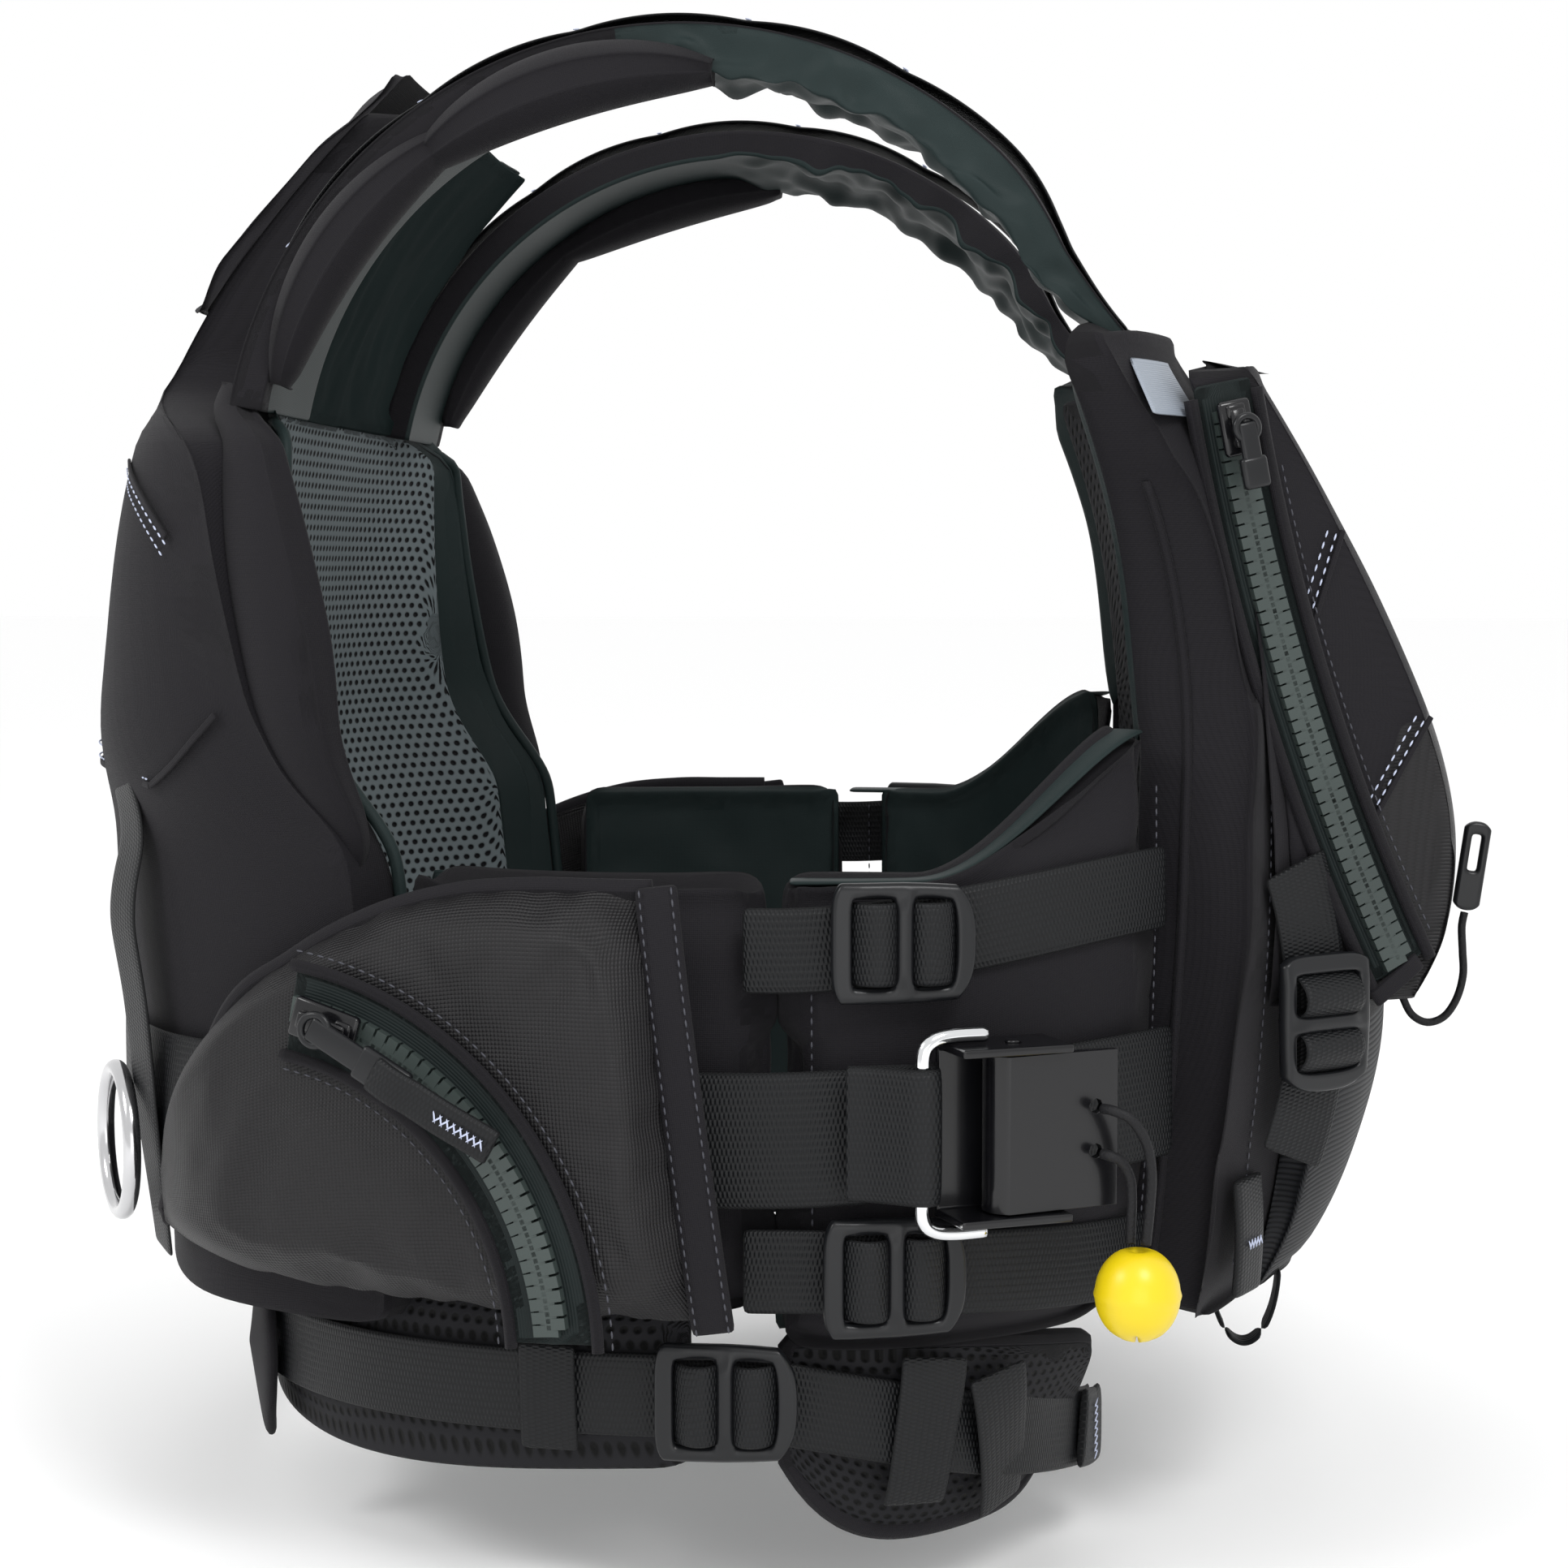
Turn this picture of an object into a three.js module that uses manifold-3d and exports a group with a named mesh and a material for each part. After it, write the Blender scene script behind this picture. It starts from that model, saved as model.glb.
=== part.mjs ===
// Rescue buoyancy vest: foam body panels, shoulder pads, adjustment webbing with ladder locks, a quick-release
// harness belt with cam buckle and toggle, zipped pockets, a back ring and a waist belt.
// Millimetres. +X is the wearer's front, +Y the wearer's left, +Z up. Heights are counted from the hem, and the
// finished group is lowered so that the origin lies level with the underside of the shoulder pads.
import * as THREE from 'three';
import { mergeVertices } from 'three/addons/utils/BufferGeometryUtils.js';
import Module from 'manifold-3d';

const wasm = await Module();
wasm.setup();

// ---------------------------------------------------------------- driving dimensions
const CHEST_HALF_WIDTH = 162; // wearer's chest, centre plane to side
const FRONT_DEPTH = 145; // wearer's chest, mid plane to front
const BACK_DEPTH = 180; // wearer's chest, mid plane to back
const SHOULDER_HEIGHT = 438; // hem to the underside of the shoulder pads

const LINER_THICKNESS = 2;
const SKIN = 1.5; // shell fabric and zip tape
const GAP = 1.2; // between layers that follow the torso
const CLEAR = 0.5; // between hardware faces
const WING_OUTER = 20; // wearer's chest to the outside of a side wing
const FOAM_INNER = LINER_THICKNESS + GAP;
const BACK_FOAM_OUTER = 38; // wearer's chest to the outside of the back foam
const FRONT_FOAM_OUTER = 39; // wearer's chest to the outside of the front foam

const PANEL_BOTTOM = 62; // lower edge of the foam panels
const WING_BOTTOM = 76;
const WING_TOP = 198;
const BACK_TOP = 434;
const NECK_START = 330; // height above which the back narrows to the neck
const NECK_HALF = 72; // half width of the back at the neck
const FRONT_NECKLINE = 326;
const FRONT_HORN_TOP = 360;
const SIDE_GAP_ANGLE = 86; // where the rear wing ends and the front wing starts
const REAR_WING_ANGLE = 121;
const FRONT_WING_ANGLE = 47;

const WEBBING_THICKNESS = 1.6;
const SIDE_WEBBING = 25; // width of the adjustment webbing
const BELT_WEBBING = 40; // width of the harness belt
const LOCK_LENGTH = 42; // ladder lock, along its webbing
const LOCK_WIDTH = 35; // ladder lock, across its webbing
const LOCK_THICKNESS = 5;
const LOCK_BAR = 5; // width of a ladder lock's rails and bars

const PAD_RADIUS = 128; // underside of the shoulder pads, about their arc's centre
const PAD_THICKNESS = 13;
const PAD_INNER_Y = 77; // neck edge of a shoulder pad
const PAD_OUTER_Y = 136; // armhole edge of a shoulder pad
const PAD_CENTRE_X = -20;
const PAD_FRONT_ANGLE = 25;
const PAD_REAR_ANGLE = 161;
const ROLL_THICKNESS = 22; // padded rolls along the armholes
const ROLL_REACH = 14; // how far a shoulder roll stands past its pad

const BUCKLE_LENGTH = 34; // harness buckle frame, along the belt
const BUCKLE_HEIGHT = 51; // harness buckle frame, across the belt
const BUCKLE_FLANGE = 21; // height of the two flanges
const BUCKLE_PLATE = 2.5; // sheet thickness of frame and lever
const DRUM_RADIUS = 8.5;
const PIN_RADIUS = 2.2;
const PIN_CLEARANCE = 0.4;
const BAR_RADIUS = 2.2;
const CORD_DIAMETER = 3;
const BALL_DIAMETER = 24.5;
const BALL_HEIGHT = 27;

const RING_OUTER_DIAMETER = 51;
const RING_WIRE = 5.5;

const POCKET_THICKNESS = 27;
const SIDE_ZIP_RADIUS = 97;
const SIDE_ZIP_SWEEP = 68; // degrees
const CHEST_ZIP_RADIUS = 660;
const CHEST_ZIP_SWEEP = 16; // degrees
const SIDE_TAPE_WIDTH = 27;
const CHEST_TAPE_WIDTH = 13.8;
const SLIDER_LENGTH = 17;
const SLIDER_WIDTH = 12;
const SLIDER_THICKNESS = 6;
const PULL_THICKNESS = 3;

// ---------------------------------------------------------------- finishes
const finish = (color, roughness, metalness = 0) => new THREE.MeshStandardMaterial({ color, roughness, metalness });
const FINISH = {
  foam: finish(0x3a3a3c, 0.9),
  shell: finish(0x26242a, 0.85),
  lining: finish(0x2d3838, 0.55),
  mesh: finish(0x555f62, 0.9),
  cordura: finish(0x1f1e22, 0.8),
  webbing: finish(0x17191c, 0.6),
  plastic: finish(0x1d1e20, 0.4),
  gloss: finish(0x101114, 0.25),
  chrome: finish(0xd8dade, 0.12, 1),
  tape: finish(0x14201f, 0.7),
  toggle: finish(0xf2e400, 0.4),
  cord: finish(0x121214, 0.75),
};

// ---------------------------------------------------------------- the wearer's torso
const rad = THREE.MathUtils.degToRad;
const smoothstep = THREE.MathUtils.smoothstep;

// A smooth function of height through rows of [height, value].
function through(rows) {
  const last = rows.length - 1;
  const slopes = rows.map((row, i) => {
    const before = rows[Math.max(i - 1, 0)];
    const after = rows[Math.min(i + 1, last)];
    return (after[1] - before[1]) / (after[0] - before[0]);
  });
  return (height) => {
    if (height <= rows[0][0]) return rows[0][1];
    if (height >= rows[last][0]) return rows[last][1];
    const i = rows.findIndex((row) => row[0] > height) - 1;
    const span = rows[i + 1][0] - rows[i][0];
    const s = (height - rows[i][0]) / span;
    const rise = rows[i + 1][1] - rows[i][1];
    const blend = s * s * (3 - 2 * s);
    const start = slopes[i] * span * s * (1 - s) * (1 - s);
    const end = slopes[i + 1] * span * s * s * (s - 1);
    return rows[i][1] + rise * blend + start + end;
  };
}

const frontShape = through([[0, 0.66], [20, 0.7], [70, 0.9], [110, 0.965], [150, 1], [200, 1], [250, 0.938],
  [350, 0.81]]);
const backShape = through([[0, 0.88], [60, 0.905], [130, 0.978], [200, 1.01], [280, 0.944], [326, 0.889], [369, 0.817],
  [409, 0.678], [450, 0.472]]);
const widthShape = through([[0, 0.97], [60, 1], [250, 0.99], [350, 0.963], [420, 0.864], [450, 0.8]]);
const frontSquareness = through([[0, 2.4], [200, 2.4], [330, 3.4], [450, 3.4]]);
const backSquareness = through([[0, 2.4], [200, 2.4], [245, 3.5], [290, 4], [340, 4.2], [450, 4.2]]);
const squareness = (front, height) => (front ? frontSquareness(height) : backSquareness(height));

const depthAt = (front, height) => (front ? FRONT_DEPTH * frontShape(height) : BACK_DEPTH * backShape(height));
const halfWidthAt = (height) => CHEST_HALF_WIDTH * widthShape(height);

// Outward direction, in plan, at a point of the torso's outline.
function planNormal(x, y, height) {
  const depth = depthAt(x > 0, height);
  const half = halfWidthAt(height);
  const power = squareness(x > 0, height) - 1;
  const nx = (Math.sign(x) * Math.abs(x / depth) ** power) / depth;
  const ny = (Math.sign(y) * Math.abs(y / half) ** power) / half;
  return new THREE.Vector3(nx, ny, 0).normalize();
}

// A point at an angle from the front (0) towards the back (180), on the right (side -1) or the left (side 1).
function around(side, angle, height, offset) {
  const c = Math.cos(rad(angle));
  const s = Math.sin(rad(angle));
  const power = squareness(c > 0, height);
  const reach = Math.abs(c / depthAt(c > 0, height)) ** power + Math.abs(s / halfWidthAt(height)) ** power;
  const radius = reach ** (-1 / power);
  const x = radius * c;
  const y = side * radius * s;
  return new THREE.Vector3(x, y, height).addScaledVector(planNormal(x, y, height), offset);
}

// A point of the front or the back at a distance y from the centre plane.
function across(front, y, height, offset) {
  const power = squareness(front, height);
  const share = Math.min(Math.abs(y / halfWidthAt(height)) ** power, 0.98);
  const x = (front ? 1 : -1) * depthAt(front, height) * (1 - share) ** (1 / power);
  return new THREE.Vector3(x, y, height).addScaledVector(planNormal(x, y, height), offset);
}

const angleOf = (point) => Math.abs(THREE.MathUtils.radToDeg(Math.atan2(point.y, point.x)));

// Wearer's chest to the outside of the foam.
const backFoamShare = through([[0, 1], [330, 1], [370, 0.84], [410, 0.72], [440, 0.68]]);
const frontFoamShare = through([[0, 0.92], [120, 1], [200, 1], [250, 0.95], [300, 0.84], [345, 0.66], [365, 0.56]]);
const frontFoamAt = (height) => FRONT_FOAM_OUTER * frontFoamShare(height);

// Below the neck the back foam thins towards the wings; above it, it thins with height.
function backFoamAt(angle, height) {
  const share = smoothstep(angle, REAR_WING_ANGLE + 1, REAR_WING_ANGLE + 25);
  const thick = WING_OUTER + (BACK_FOAM_OUTER - WING_OUTER) * share;
  return height > NECK_START ? BACK_FOAM_OUTER * backFoamShare(height) : thick;
}

// ---------------------------------------------------------------- making solids
function facesOut(geometry) {
  const position = geometry.getAttribute('position');
  const index = geometry.index.array;
  const corner = (i) => new THREE.Vector3().fromBufferAttribute(position, index[i]);
  let volume = 0;
  for (let i = 0; i < index.length; i += 3) {
    volume += corner(i).dot(corner(i + 1).cross(corner(i + 2)));
  }
  if (volume < 0) {
    for (let i = 0; i < index.length; i += 3) {
      [index[i], index[i + 1]] = [index[i + 1], index[i]];
    }
  }
  return geometry;
}

function merged(geometry) {
  geometry.deleteAttribute('normal');
  geometry.deleteAttribute('uv');
  return facesOut(mergeVertices(geometry, 1e-4));
}

// A box whose corners are placed by place(u, v, w): u and v along its two long ways, w through its thickness.
function wrapped(alongCount, acrossCount, place) {
  const geometry = new THREE.BoxGeometry(1, 1, 1, alongCount, acrossCount, 1);
  const position = geometry.getAttribute('position');
  for (let i = 0; i < position.count; i += 1) {
    const point = place(position.getX(i) + 0.5, position.getY(i) + 0.5, position.getZ(i) + 0.5);
    position.setXYZ(i, point.x, point.y, point.z);
  }
  // Both broad faces get the same diagonals, so that layers on one grid stay apart where they twist.
  const index = geometry.index.array;
  const inner = geometry.groups[5];
  for (let i = inner.start; i < inner.start + inner.count; i += 6) {
    const [a, b, d, , c] = index.slice(i, i + 6);
    index.set([a, b, c, a, c, d], i);
  }
  return merged(geometry);
}

function toSolid(geometry) {
  const clean = geometry.index ? geometry : merged(geometry);
  const vertProperties = new Float32Array(clean.getAttribute('position').array);
  return new wasm.Manifold(new wasm.Mesh({ numProp: 3, vertProperties, triVerts: new Uint32Array(clean.index.array) }));
}

function toGeometry(solid) {
  const mesh = solid.getMesh();
  const geometry = new THREE.BufferGeometry();
  geometry.setAttribute('position', new THREE.BufferAttribute(new Float32Array(mesh.vertProperties), 3));
  geometry.setIndex(new THREE.BufferAttribute(new Uint32Array(mesh.triVerts), 1));
  return geometry;
}

// The first geometry with the others cut out of it.
function cut(geometry, ...tools) {
  return toGeometry(tools.reduce((solid, tool) => solid.subtract(toSolid(tool)), toSolid(geometry)));
}

function extruded(shape, depth, curveSegments = 6) {
  const points = shape.getPoints(curveSegments);
  const corners = points.filter((point, i) => point.distanceTo(points[(i + 1) % points.length]) > 1e-4);
  return merged(new THREE.ExtrudeGeometry(new THREE.Shape(corners), { depth, bevelEnabled: false }));
}

function tube(points, radius, steps, sides = 8) {
  const section = new THREE.Shape();
  for (let i = 0; i <= sides; i += 1) {
    const turn = (i / sides) * 2 * Math.PI;
    section[i ? 'lineTo' : 'moveTo'](radius * Math.cos(turn), radius * Math.sin(turn));
  }
  const extrudePath = new THREE.CatmullRomCurve3(points, false, 'centripetal');
  return merged(new THREE.ExtrudeGeometry(section, { steps, extrudePath, bevelEnabled: false }));
}

function rod(radius, length, sides = 12) {
  return merged(new THREE.CylinderGeometry(radius, radius, length, sides));
}

function roundedRectangle(width, height, radius) {
  const w = width / 2;
  const h = height / 2;
  const shape = new THREE.Shape();
  shape.moveTo(radius - w, -h);
  shape.lineTo(w - radius, -h);
  shape.absarc(w - radius, radius - h, radius, -Math.PI / 2, 0);
  shape.lineTo(w, h - radius);
  shape.absarc(w - radius, h - radius, radius, 0, Math.PI / 2);
  shape.lineTo(radius - w, h);
  shape.absarc(radius - w, h - radius, radius, Math.PI / 2, Math.PI);
  shape.lineTo(-w, radius - h);
  shape.absarc(radius - w, radius - h, radius, Math.PI, 1.5 * Math.PI);
  return shape;
}

function block(width, height, depth) {
  return merged(new THREE.BoxGeometry(width, height, depth));
}

// ---------------------------------------------------------------- placing solids
const vest = new THREE.Group();

function add(name, geometry, material, frame = null) {
  const mesh = new THREE.Mesh(geometry, material);
  mesh.name = name;
  if (frame) mesh.applyMatrix4(frame);
  vest.add(mesh);
  return mesh;
}

// A local frame on the vest: x runs forward along the surface, y up it and z out of it.
function frameFrom(origin, forward, out) {
  const x = forward.clone().normalize();
  const z = out.clone().addScaledVector(x, -out.dot(x)).normalize();
  const y = new THREE.Vector3().crossVectors(z, x);
  return new THREE.Matrix4().makeBasis(x, y, z).setPosition(origin);
}

const SIDES = [[-1, 'right'], [1, 'left']];

// The forward direction is mirrored on the left, so a left-hand frame has y down.
function sideFrame(side, angle, height, offset, rise = 0) {
  const origin = around(side, angle, height, offset);
  const ahead = around(side, angle - 1, height, offset).sub(origin).normalize();
  ahead.z += rise;
  return frameFrom(origin, ahead, planNormal(origin.x, origin.y, height));
}

// Webbing round one side of the torso: height and offset are functions of the angle.
function strap(side, from, to, height, offset, width, count) {
  return wrapped(count, 1, (u, v, w) => {
    const angle = from + (to - from) * u;
    return around(side, angle, height(angle) + (v - 0.5) * width, offset(angle) + w * WEBBING_THICKNESS);
  });
}

// ---------------------------------------------------------------- foam panels, shells and liners
const backHalf = through([[60, 141], [200, 142], [250, 143], [300, 138], [337, 130]]);
const frontHalf = through([[60, 108], [110, 112], [200, 112], [250, 110], [300, 118], [350, 132]]);
const PANEL_COLUMNS = 10;
const BACK_ROWS = [PANEL_BOTTOM, 110, 160, 208, 232, 260, 310, NECK_START + 7, NECK_START + 15, 380, 410, BACK_TOP];

function backPanel(inner, outer) {
  const rows = BACK_ROWS.length - 1;
  return wrapped(PANEL_COLUMNS, rows, (u, v, w) => {
    const height = BACK_ROWS[Math.round(v * rows)];
    const half = height > NECK_START + 10 ? NECK_HALF : backHalf(height);
    const y = (2 * u - 1) * half;
    const angle = angleOf(across(false, y, height, 0));
    const offset = w < 0.5 ? inner(angle, height) : outer(angle, height);
    return across(false, y, height, offset);
  });
}

function frontPanel(inner, outer) {
  return wrapped(PANEL_COLUMNS, 7, (u, v, w) => {
    const share = Math.abs(2 * u - 1);
    const top = FRONT_NECKLINE + (FRONT_HORN_TOP - FRONT_NECKLINE) * smoothstep(share, 0.4, 0.6);
    const height = PANEL_BOTTOM + v * (top - PANEL_BOTTOM);
    const y = (2 * u - 1) * frontHalf(height);
    return across(true, y, height, w < 0.5 ? inner(height) : outer(height));
  });
}

const backShellInner = (angle, height) => backFoamAt(angle, height) + GAP;
const backShellOuter = (angle, height) => backShellInner(angle, height) + SKIN;
const frontShellInner = (height) => frontFoamAt(height) + GAP;
const frontShellOuter = (height) => frontShellInner(height) + SKIN;

add('back_foam', backPanel(() => FOAM_INNER, backFoamAt), FINISH.foam);
add('back_shell', backPanel(backShellInner, backShellOuter), FINISH.shell);
add('back_mesh_liner', backPanel(() => 0, () => LINER_THICKNESS), FINISH.mesh);
add('front_foam', frontPanel(() => FOAM_INNER, frontFoamAt), FINISH.foam);
add('front_shell', frontPanel(frontShellInner, frontShellOuter), FINISH.shell);
add('front_mesh_liner', frontPanel(() => 0, () => LINER_THICKNESS), FINISH.mesh);


const WING_SPLIT = 0.7; // half the angle left open between a rear and a front wing
const FRONT_WING_BOTTOM = 66;
const FRONT_WING_RISE = 42; // how far a front wing rises towards the front panel
const wingTop = (angle) => WING_TOP + FRONT_WING_RISE * smoothstep(72 - angle, 0, 25);
for (const [side, word] of SIDES) {
  add(`rear_wing_${word}`, wrapped(7, 3, (u, v, w) => {
    const angle = REAR_WING_ANGLE + (SIDE_GAP_ANGLE + WING_SPLIT - REAR_WING_ANGLE) * u;
    const height = WING_BOTTOM + (WING_TOP - WING_BOTTOM) * v;
    return around(side, angle, height, LINER_THICKNESS + w * (WING_OUTER - LINER_THICKNESS));
  }), FINISH.shell);
  add(`front_wing_${word}`, wrapped(8, 4, (u, v, w) => {
    const angle = SIDE_GAP_ANGLE - WING_SPLIT + (FRONT_WING_ANGLE - SIDE_GAP_ANGLE + WING_SPLIT) * u;
    const height = FRONT_WING_BOTTOM + (wingTop(angle) - FRONT_WING_BOTTOM) * v;
    return around(side, angle, height, LINER_THICKNESS + w * (WING_OUTER - LINER_THICKNESS));
  }), FINISH.shell);
}

// ---------------------------------------------------------------- armhole rolls and shoulder pads
const ROLL_BOTTOM = WING_TOP + 5;
const ROLL_TOP = NECK_START + 8;
const ROLL_WIDTH = 20;
const ROLL_MIDDLE = 16; // wearer's chest to the middle of a roll
const padCentreHeight = SHOULDER_HEIGHT - PAD_RADIUS + WEBBING_THICKNESS;
for (const [side, word] of SIDES) {
  // A lens beside the back panel's edge, thickest halfway up and in the middle of its width.
  add(`armhole_roll_${word}`, wrapped(8, 4, (u, v, w) => {
    const height = ROLL_BOTTOM + (ROLL_TOP - ROLL_BOTTOM) * u;
    const swell = Math.sqrt(1 - (0.85 * (2 * v - 1)) ** 2) * Math.sin(Math.PI * (0.12 + 0.76 * u)) ** 0.6;
    const width = ROLL_WIDTH * (0.35 + 0.65 * Math.sin(Math.PI * (0.1 + 0.8 * u)));
    const edge = across(false, side * backHalf(height), height, 0);
    const normal = planNormal(edge.x, edge.y, height);
    const aside = new THREE.Vector3(-normal.y, normal.x, 0).multiplyScalar(-side);
    const depth = ROLL_MIDDLE + (w - 0.5) * ROLL_THICKNESS * (0.2 + 0.8 * swell);
    return edge.addScaledVector(aside, 2 * GAP + v * width).addScaledVector(normal, depth);
  }), FINISH.shell);

  const onArc = (turn, radius, y) => new THREE.Vector3(
    PAD_CENTRE_X + radius * Math.cos(rad(turn)),
    side * y,
    padCentreHeight + radius * Math.sin(rad(turn)),
  );
  // The pad's armhole edge swells into a roll on the rear half.
  add(`shoulder_pad_${word}`, wrapped(11, 5, (u, v, w) => {
    const turn = PAD_FRONT_ANGLE + (PAD_REAR_ANGLE - PAD_FRONT_ANGLE) * u;
    const y = PAD_INNER_Y + (PAD_OUTER_Y + ROLL_REACH - PAD_INNER_Y) * v;
    const roll = smoothstep(turn, 88, 100) * (1 - ((y - PAD_OUTER_Y) / ROLL_REACH) ** 2);
    const swell = y > PAD_OUTER_Y - ROLL_REACH ? Math.max(roll, 0) * (ROLL_THICKNESS - PAD_THICKNESS) : 0;
    const crown = PAD_THICKNESS * (1 - 0.35 * (2 * v - 1) ** 2);
    return onArc(turn, PAD_RADIUS + (w < 0.5 ? -swell * 0.9 : crown + swell * 0.1), y);
  }), FINISH.shell);
  add(`shoulder_webbing_${word}`, wrapped(16, 1, (u, v, w) => {
    const turn = PAD_FRONT_ANGLE + 9 + (PAD_REAR_ANGLE - PAD_FRONT_ANGLE - 18) * u;
    const middle = (PAD_INNER_Y + PAD_OUTER_Y) / 2;
    const radius = PAD_RADIUS + PAD_THICKNESS + 2 * GAP + w * WEBBING_THICKNESS;
    return onArc(turn, radius, middle + (v - 0.5) * SIDE_WEBBING);
  }), FINISH.webbing);
}

// ---------------------------------------------------------------- neck pouch
const NECK_POUCH_BOTTOM = 372;
const NECK_POUCH_TOP = 450;
const NECK_POUCH_THICKNESS = 10;
add('neck_pouch', wrapped(8, 4, (u, v, w) => {
  const height = NECK_POUCH_BOTTOM + (NECK_POUCH_TOP - NECK_POUCH_BOTTOM) * v;
  const y = (2 * u - 1) * (NECK_HALF - 2);
  const thick = NECK_POUCH_THICKNESS * (1 - 0.4 * (2 * u - 1) ** 2);
  return across(false, y, height, backShellOuter(180, height) + GAP + w * thick);
}), FINISH.shell);

// ---------------------------------------------------------------- chest pocket with its side zip
// The pocket's right wall is a flat upright plane through these two plan points.
const WALL_INSET = 35; // from the wearer's side in to the wall's rear edge
const WALL_REAR = new THREE.Vector3(FRONT_DEPTH - 5, WALL_INSET - CHEST_HALF_WIDTH, 0);
const WALL_FRONT = new THREE.Vector3(FRONT_DEPTH + 60, WALL_REAR.y + 25, 0);
const wallForward = WALL_FRONT.clone().sub(WALL_REAR).normalize();
const wallOut = new THREE.Vector3(wallForward.y, -wallForward.x, 0);
const wallY = (x) => WALL_REAR.y + ((x - WALL_REAR.x) * wallForward.y) / wallForward.x;
const POCKET_ROUNDING = 6; // depth of the rounding of the pocket's front
const CHEST_POCKET_BOTTOM = 157;
const CHEST_POCKET_TOP = 350;
const pocketFront = through([[157, 68], [177, 77], [211, 79], [248, 68], [310, 37], [343, 17], [350, 12]]);

function pocketBase(height) {
  let y = -60;
  const point = () => across(true, y, height, frontShellOuter(height) + 2.5 * GAP);
  while (point().y > wallY(point().x)) y -= 0.25;
  return point();
}

add('chest_pocket', wrapped(8, 9, (u, v, w) => {
  const height = CHEST_POCKET_BOTTOM + (CHEST_POCKET_TOP - CHEST_POCKET_BOTTOM) * v;
  const share = 2 * u - 1;
  const base = pocketBase(height);
  if (w < 0.5) {
    return Math.abs(share) === 1
      ? new THREE.Vector3(base.x, share * -base.y, height)
      : across(true, share * -base.y * 0.96, height, frontShellOuter(height) + 2.5 * GAP);
  }
  const front = FRONT_DEPTH + pocketFront(height);
  const edge = Math.max(front - POCKET_ROUNDING, base.x + 4);
  const x = edge + (Math.max(front, edge) - edge) * (1 - Math.abs(share) ** 3);
  return new THREE.Vector3(x, share * -wallY(edge), height);
}), FINISH.shell);

const POUCH_HALF = 84;
add('lower_front_pouch', wrapped(10, 4, (u, v, w) => {
  const height = PANEL_BOTTOM + 2 + (CHEST_POCKET_BOTTOM - 4 - PANEL_BOTTOM) * v;
  const y = (2 * u - 1) * POUCH_HALF;
  const thick = 4 + 13 * Math.sin(Math.PI * (0.08 + 0.55 * v)) * (1 - 0.5 * (2 * u - 1) ** 4);
  return across(true, y, height, frontShellOuter(height) + GAP + w * thick);
}), FINISH.webbing);

// ---------------------------------------------------------------- harness belt and side straps
const beltHeight = (angle) => 126 + 7 * smoothstep(90 - angle, 0, 45);
// Outside of everything that the harness belt runs over.
const underBelt = (angle) => (angle > REAR_WING_ANGLE ? backShellOuter(angle, 130) : WING_OUTER + GAP + SKIN);
const BUCKLE_ANGLE = 66.8;
const BAR_ANGLE = 75.3;
const overBelt = (angle) => underBelt(angle) + 1.5 * GAP;
const beltCentreTurns = 360 - BAR_ANGLE - FRONT_WING_ANGLE - 1;
add('harness_belt', wrapped(38, 1, (u, v, w) => {
  const turn = BAR_ANGLE + beltCentreTurns * u;
  const side = turn <= 180 ? -1 : 1;
  const angle = turn <= 180 ? turn : 360 - turn;
  const height = beltHeight(angle) + (v - 0.5) * BELT_WEBBING;
  return around(side, angle, height, overBelt(angle) + w * WEBBING_THICKNESS);
}), FINISH.webbing);
const frontStrap = strap(-1, BAR_ANGLE - 1.5, FRONT_WING_ANGLE + 1, beltHeight, overBelt, BELT_WEBBING, 6);
add('harness_front_strap', frontStrap, FINISH.webbing);

// Each side strap: its name, its height at an angle, and the angle of its ladder lock. The lower one just clears the
// buckle.
const LOWER_STRAP = 130 - (BUCKLE_HEIGHT + LOCK_WIDTH) / 2;
const STRAPS = [
  ['upper', (angle) => 180 + 14 * smoothstep(SIDE_GAP_ANGLE - angle, 0, 40), 74.5],
  ['lower', (angle) => LOWER_STRAP - 5 * smoothstep(SIDE_GAP_ANGLE - angle, 0, 40), 75.5],
];
function ladderLock() {
  const window = LOCK_LENGTH / 2 - 1.5 * LOCK_BAR;
  const middle = (LOCK_BAR + window) / 2;
  const windows = [-middle, middle].map((x) => (
    block(window, LOCK_WIDTH - 2 * LOCK_BAR, 4 * LOCK_THICKNESS).translate(x, 0, 0)));
  return cut(extruded(roundedRectangle(LOCK_LENGTH, LOCK_WIDTH, 7), LOCK_THICKNESS, 2), ...windows);
}

for (const [side, word] of SIDES) {
  for (const [level, height, lockAngle] of STRAPS) {
    const offset = () => WING_OUTER + GAP;
    const webbing = strap(side, SIDE_GAP_ANGLE + 3, FRONT_WING_ANGLE + 1, height, offset, SIDE_WEBBING, 8);
    add(`side_strap_${level}_${word}`, webbing, FINISH.webbing);
    const lockOffset = WING_OUTER + WEBBING_THICKNESS + 2 * GAP + 1;
    const lockFrame = sideFrame(side, lockAngle, height(lockAngle), lockOffset);
    add(`ladder_lock_${level}_${word}`, ladderLock(), FINISH.plastic, lockFrame);
  }
}

// ---------------------------------------------------------------- quick-release buckle
// In the buckle's frame the lever's drum is centred on x = 0.
const buckleOffset = overBelt(BUCKLE_ANGLE) + WEBBING_THICKNESS + 1.8 * GAP;
const buckleFrame = sideFrame(-1, BUCKLE_ANGLE, beltHeight(BUCKLE_ANGLE), buckleOffset);
const drumZ = BUCKLE_PLATE + CLEAR + DRUM_RADIUS;
const LEVER_REACH = 31; // drum centre to the lever's free end
const CORD_HOLE_RADIUS = 2.2;
const CORD_HOLES = [6.5, -6.5];
const holeX = LEVER_REACH - 7;

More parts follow.
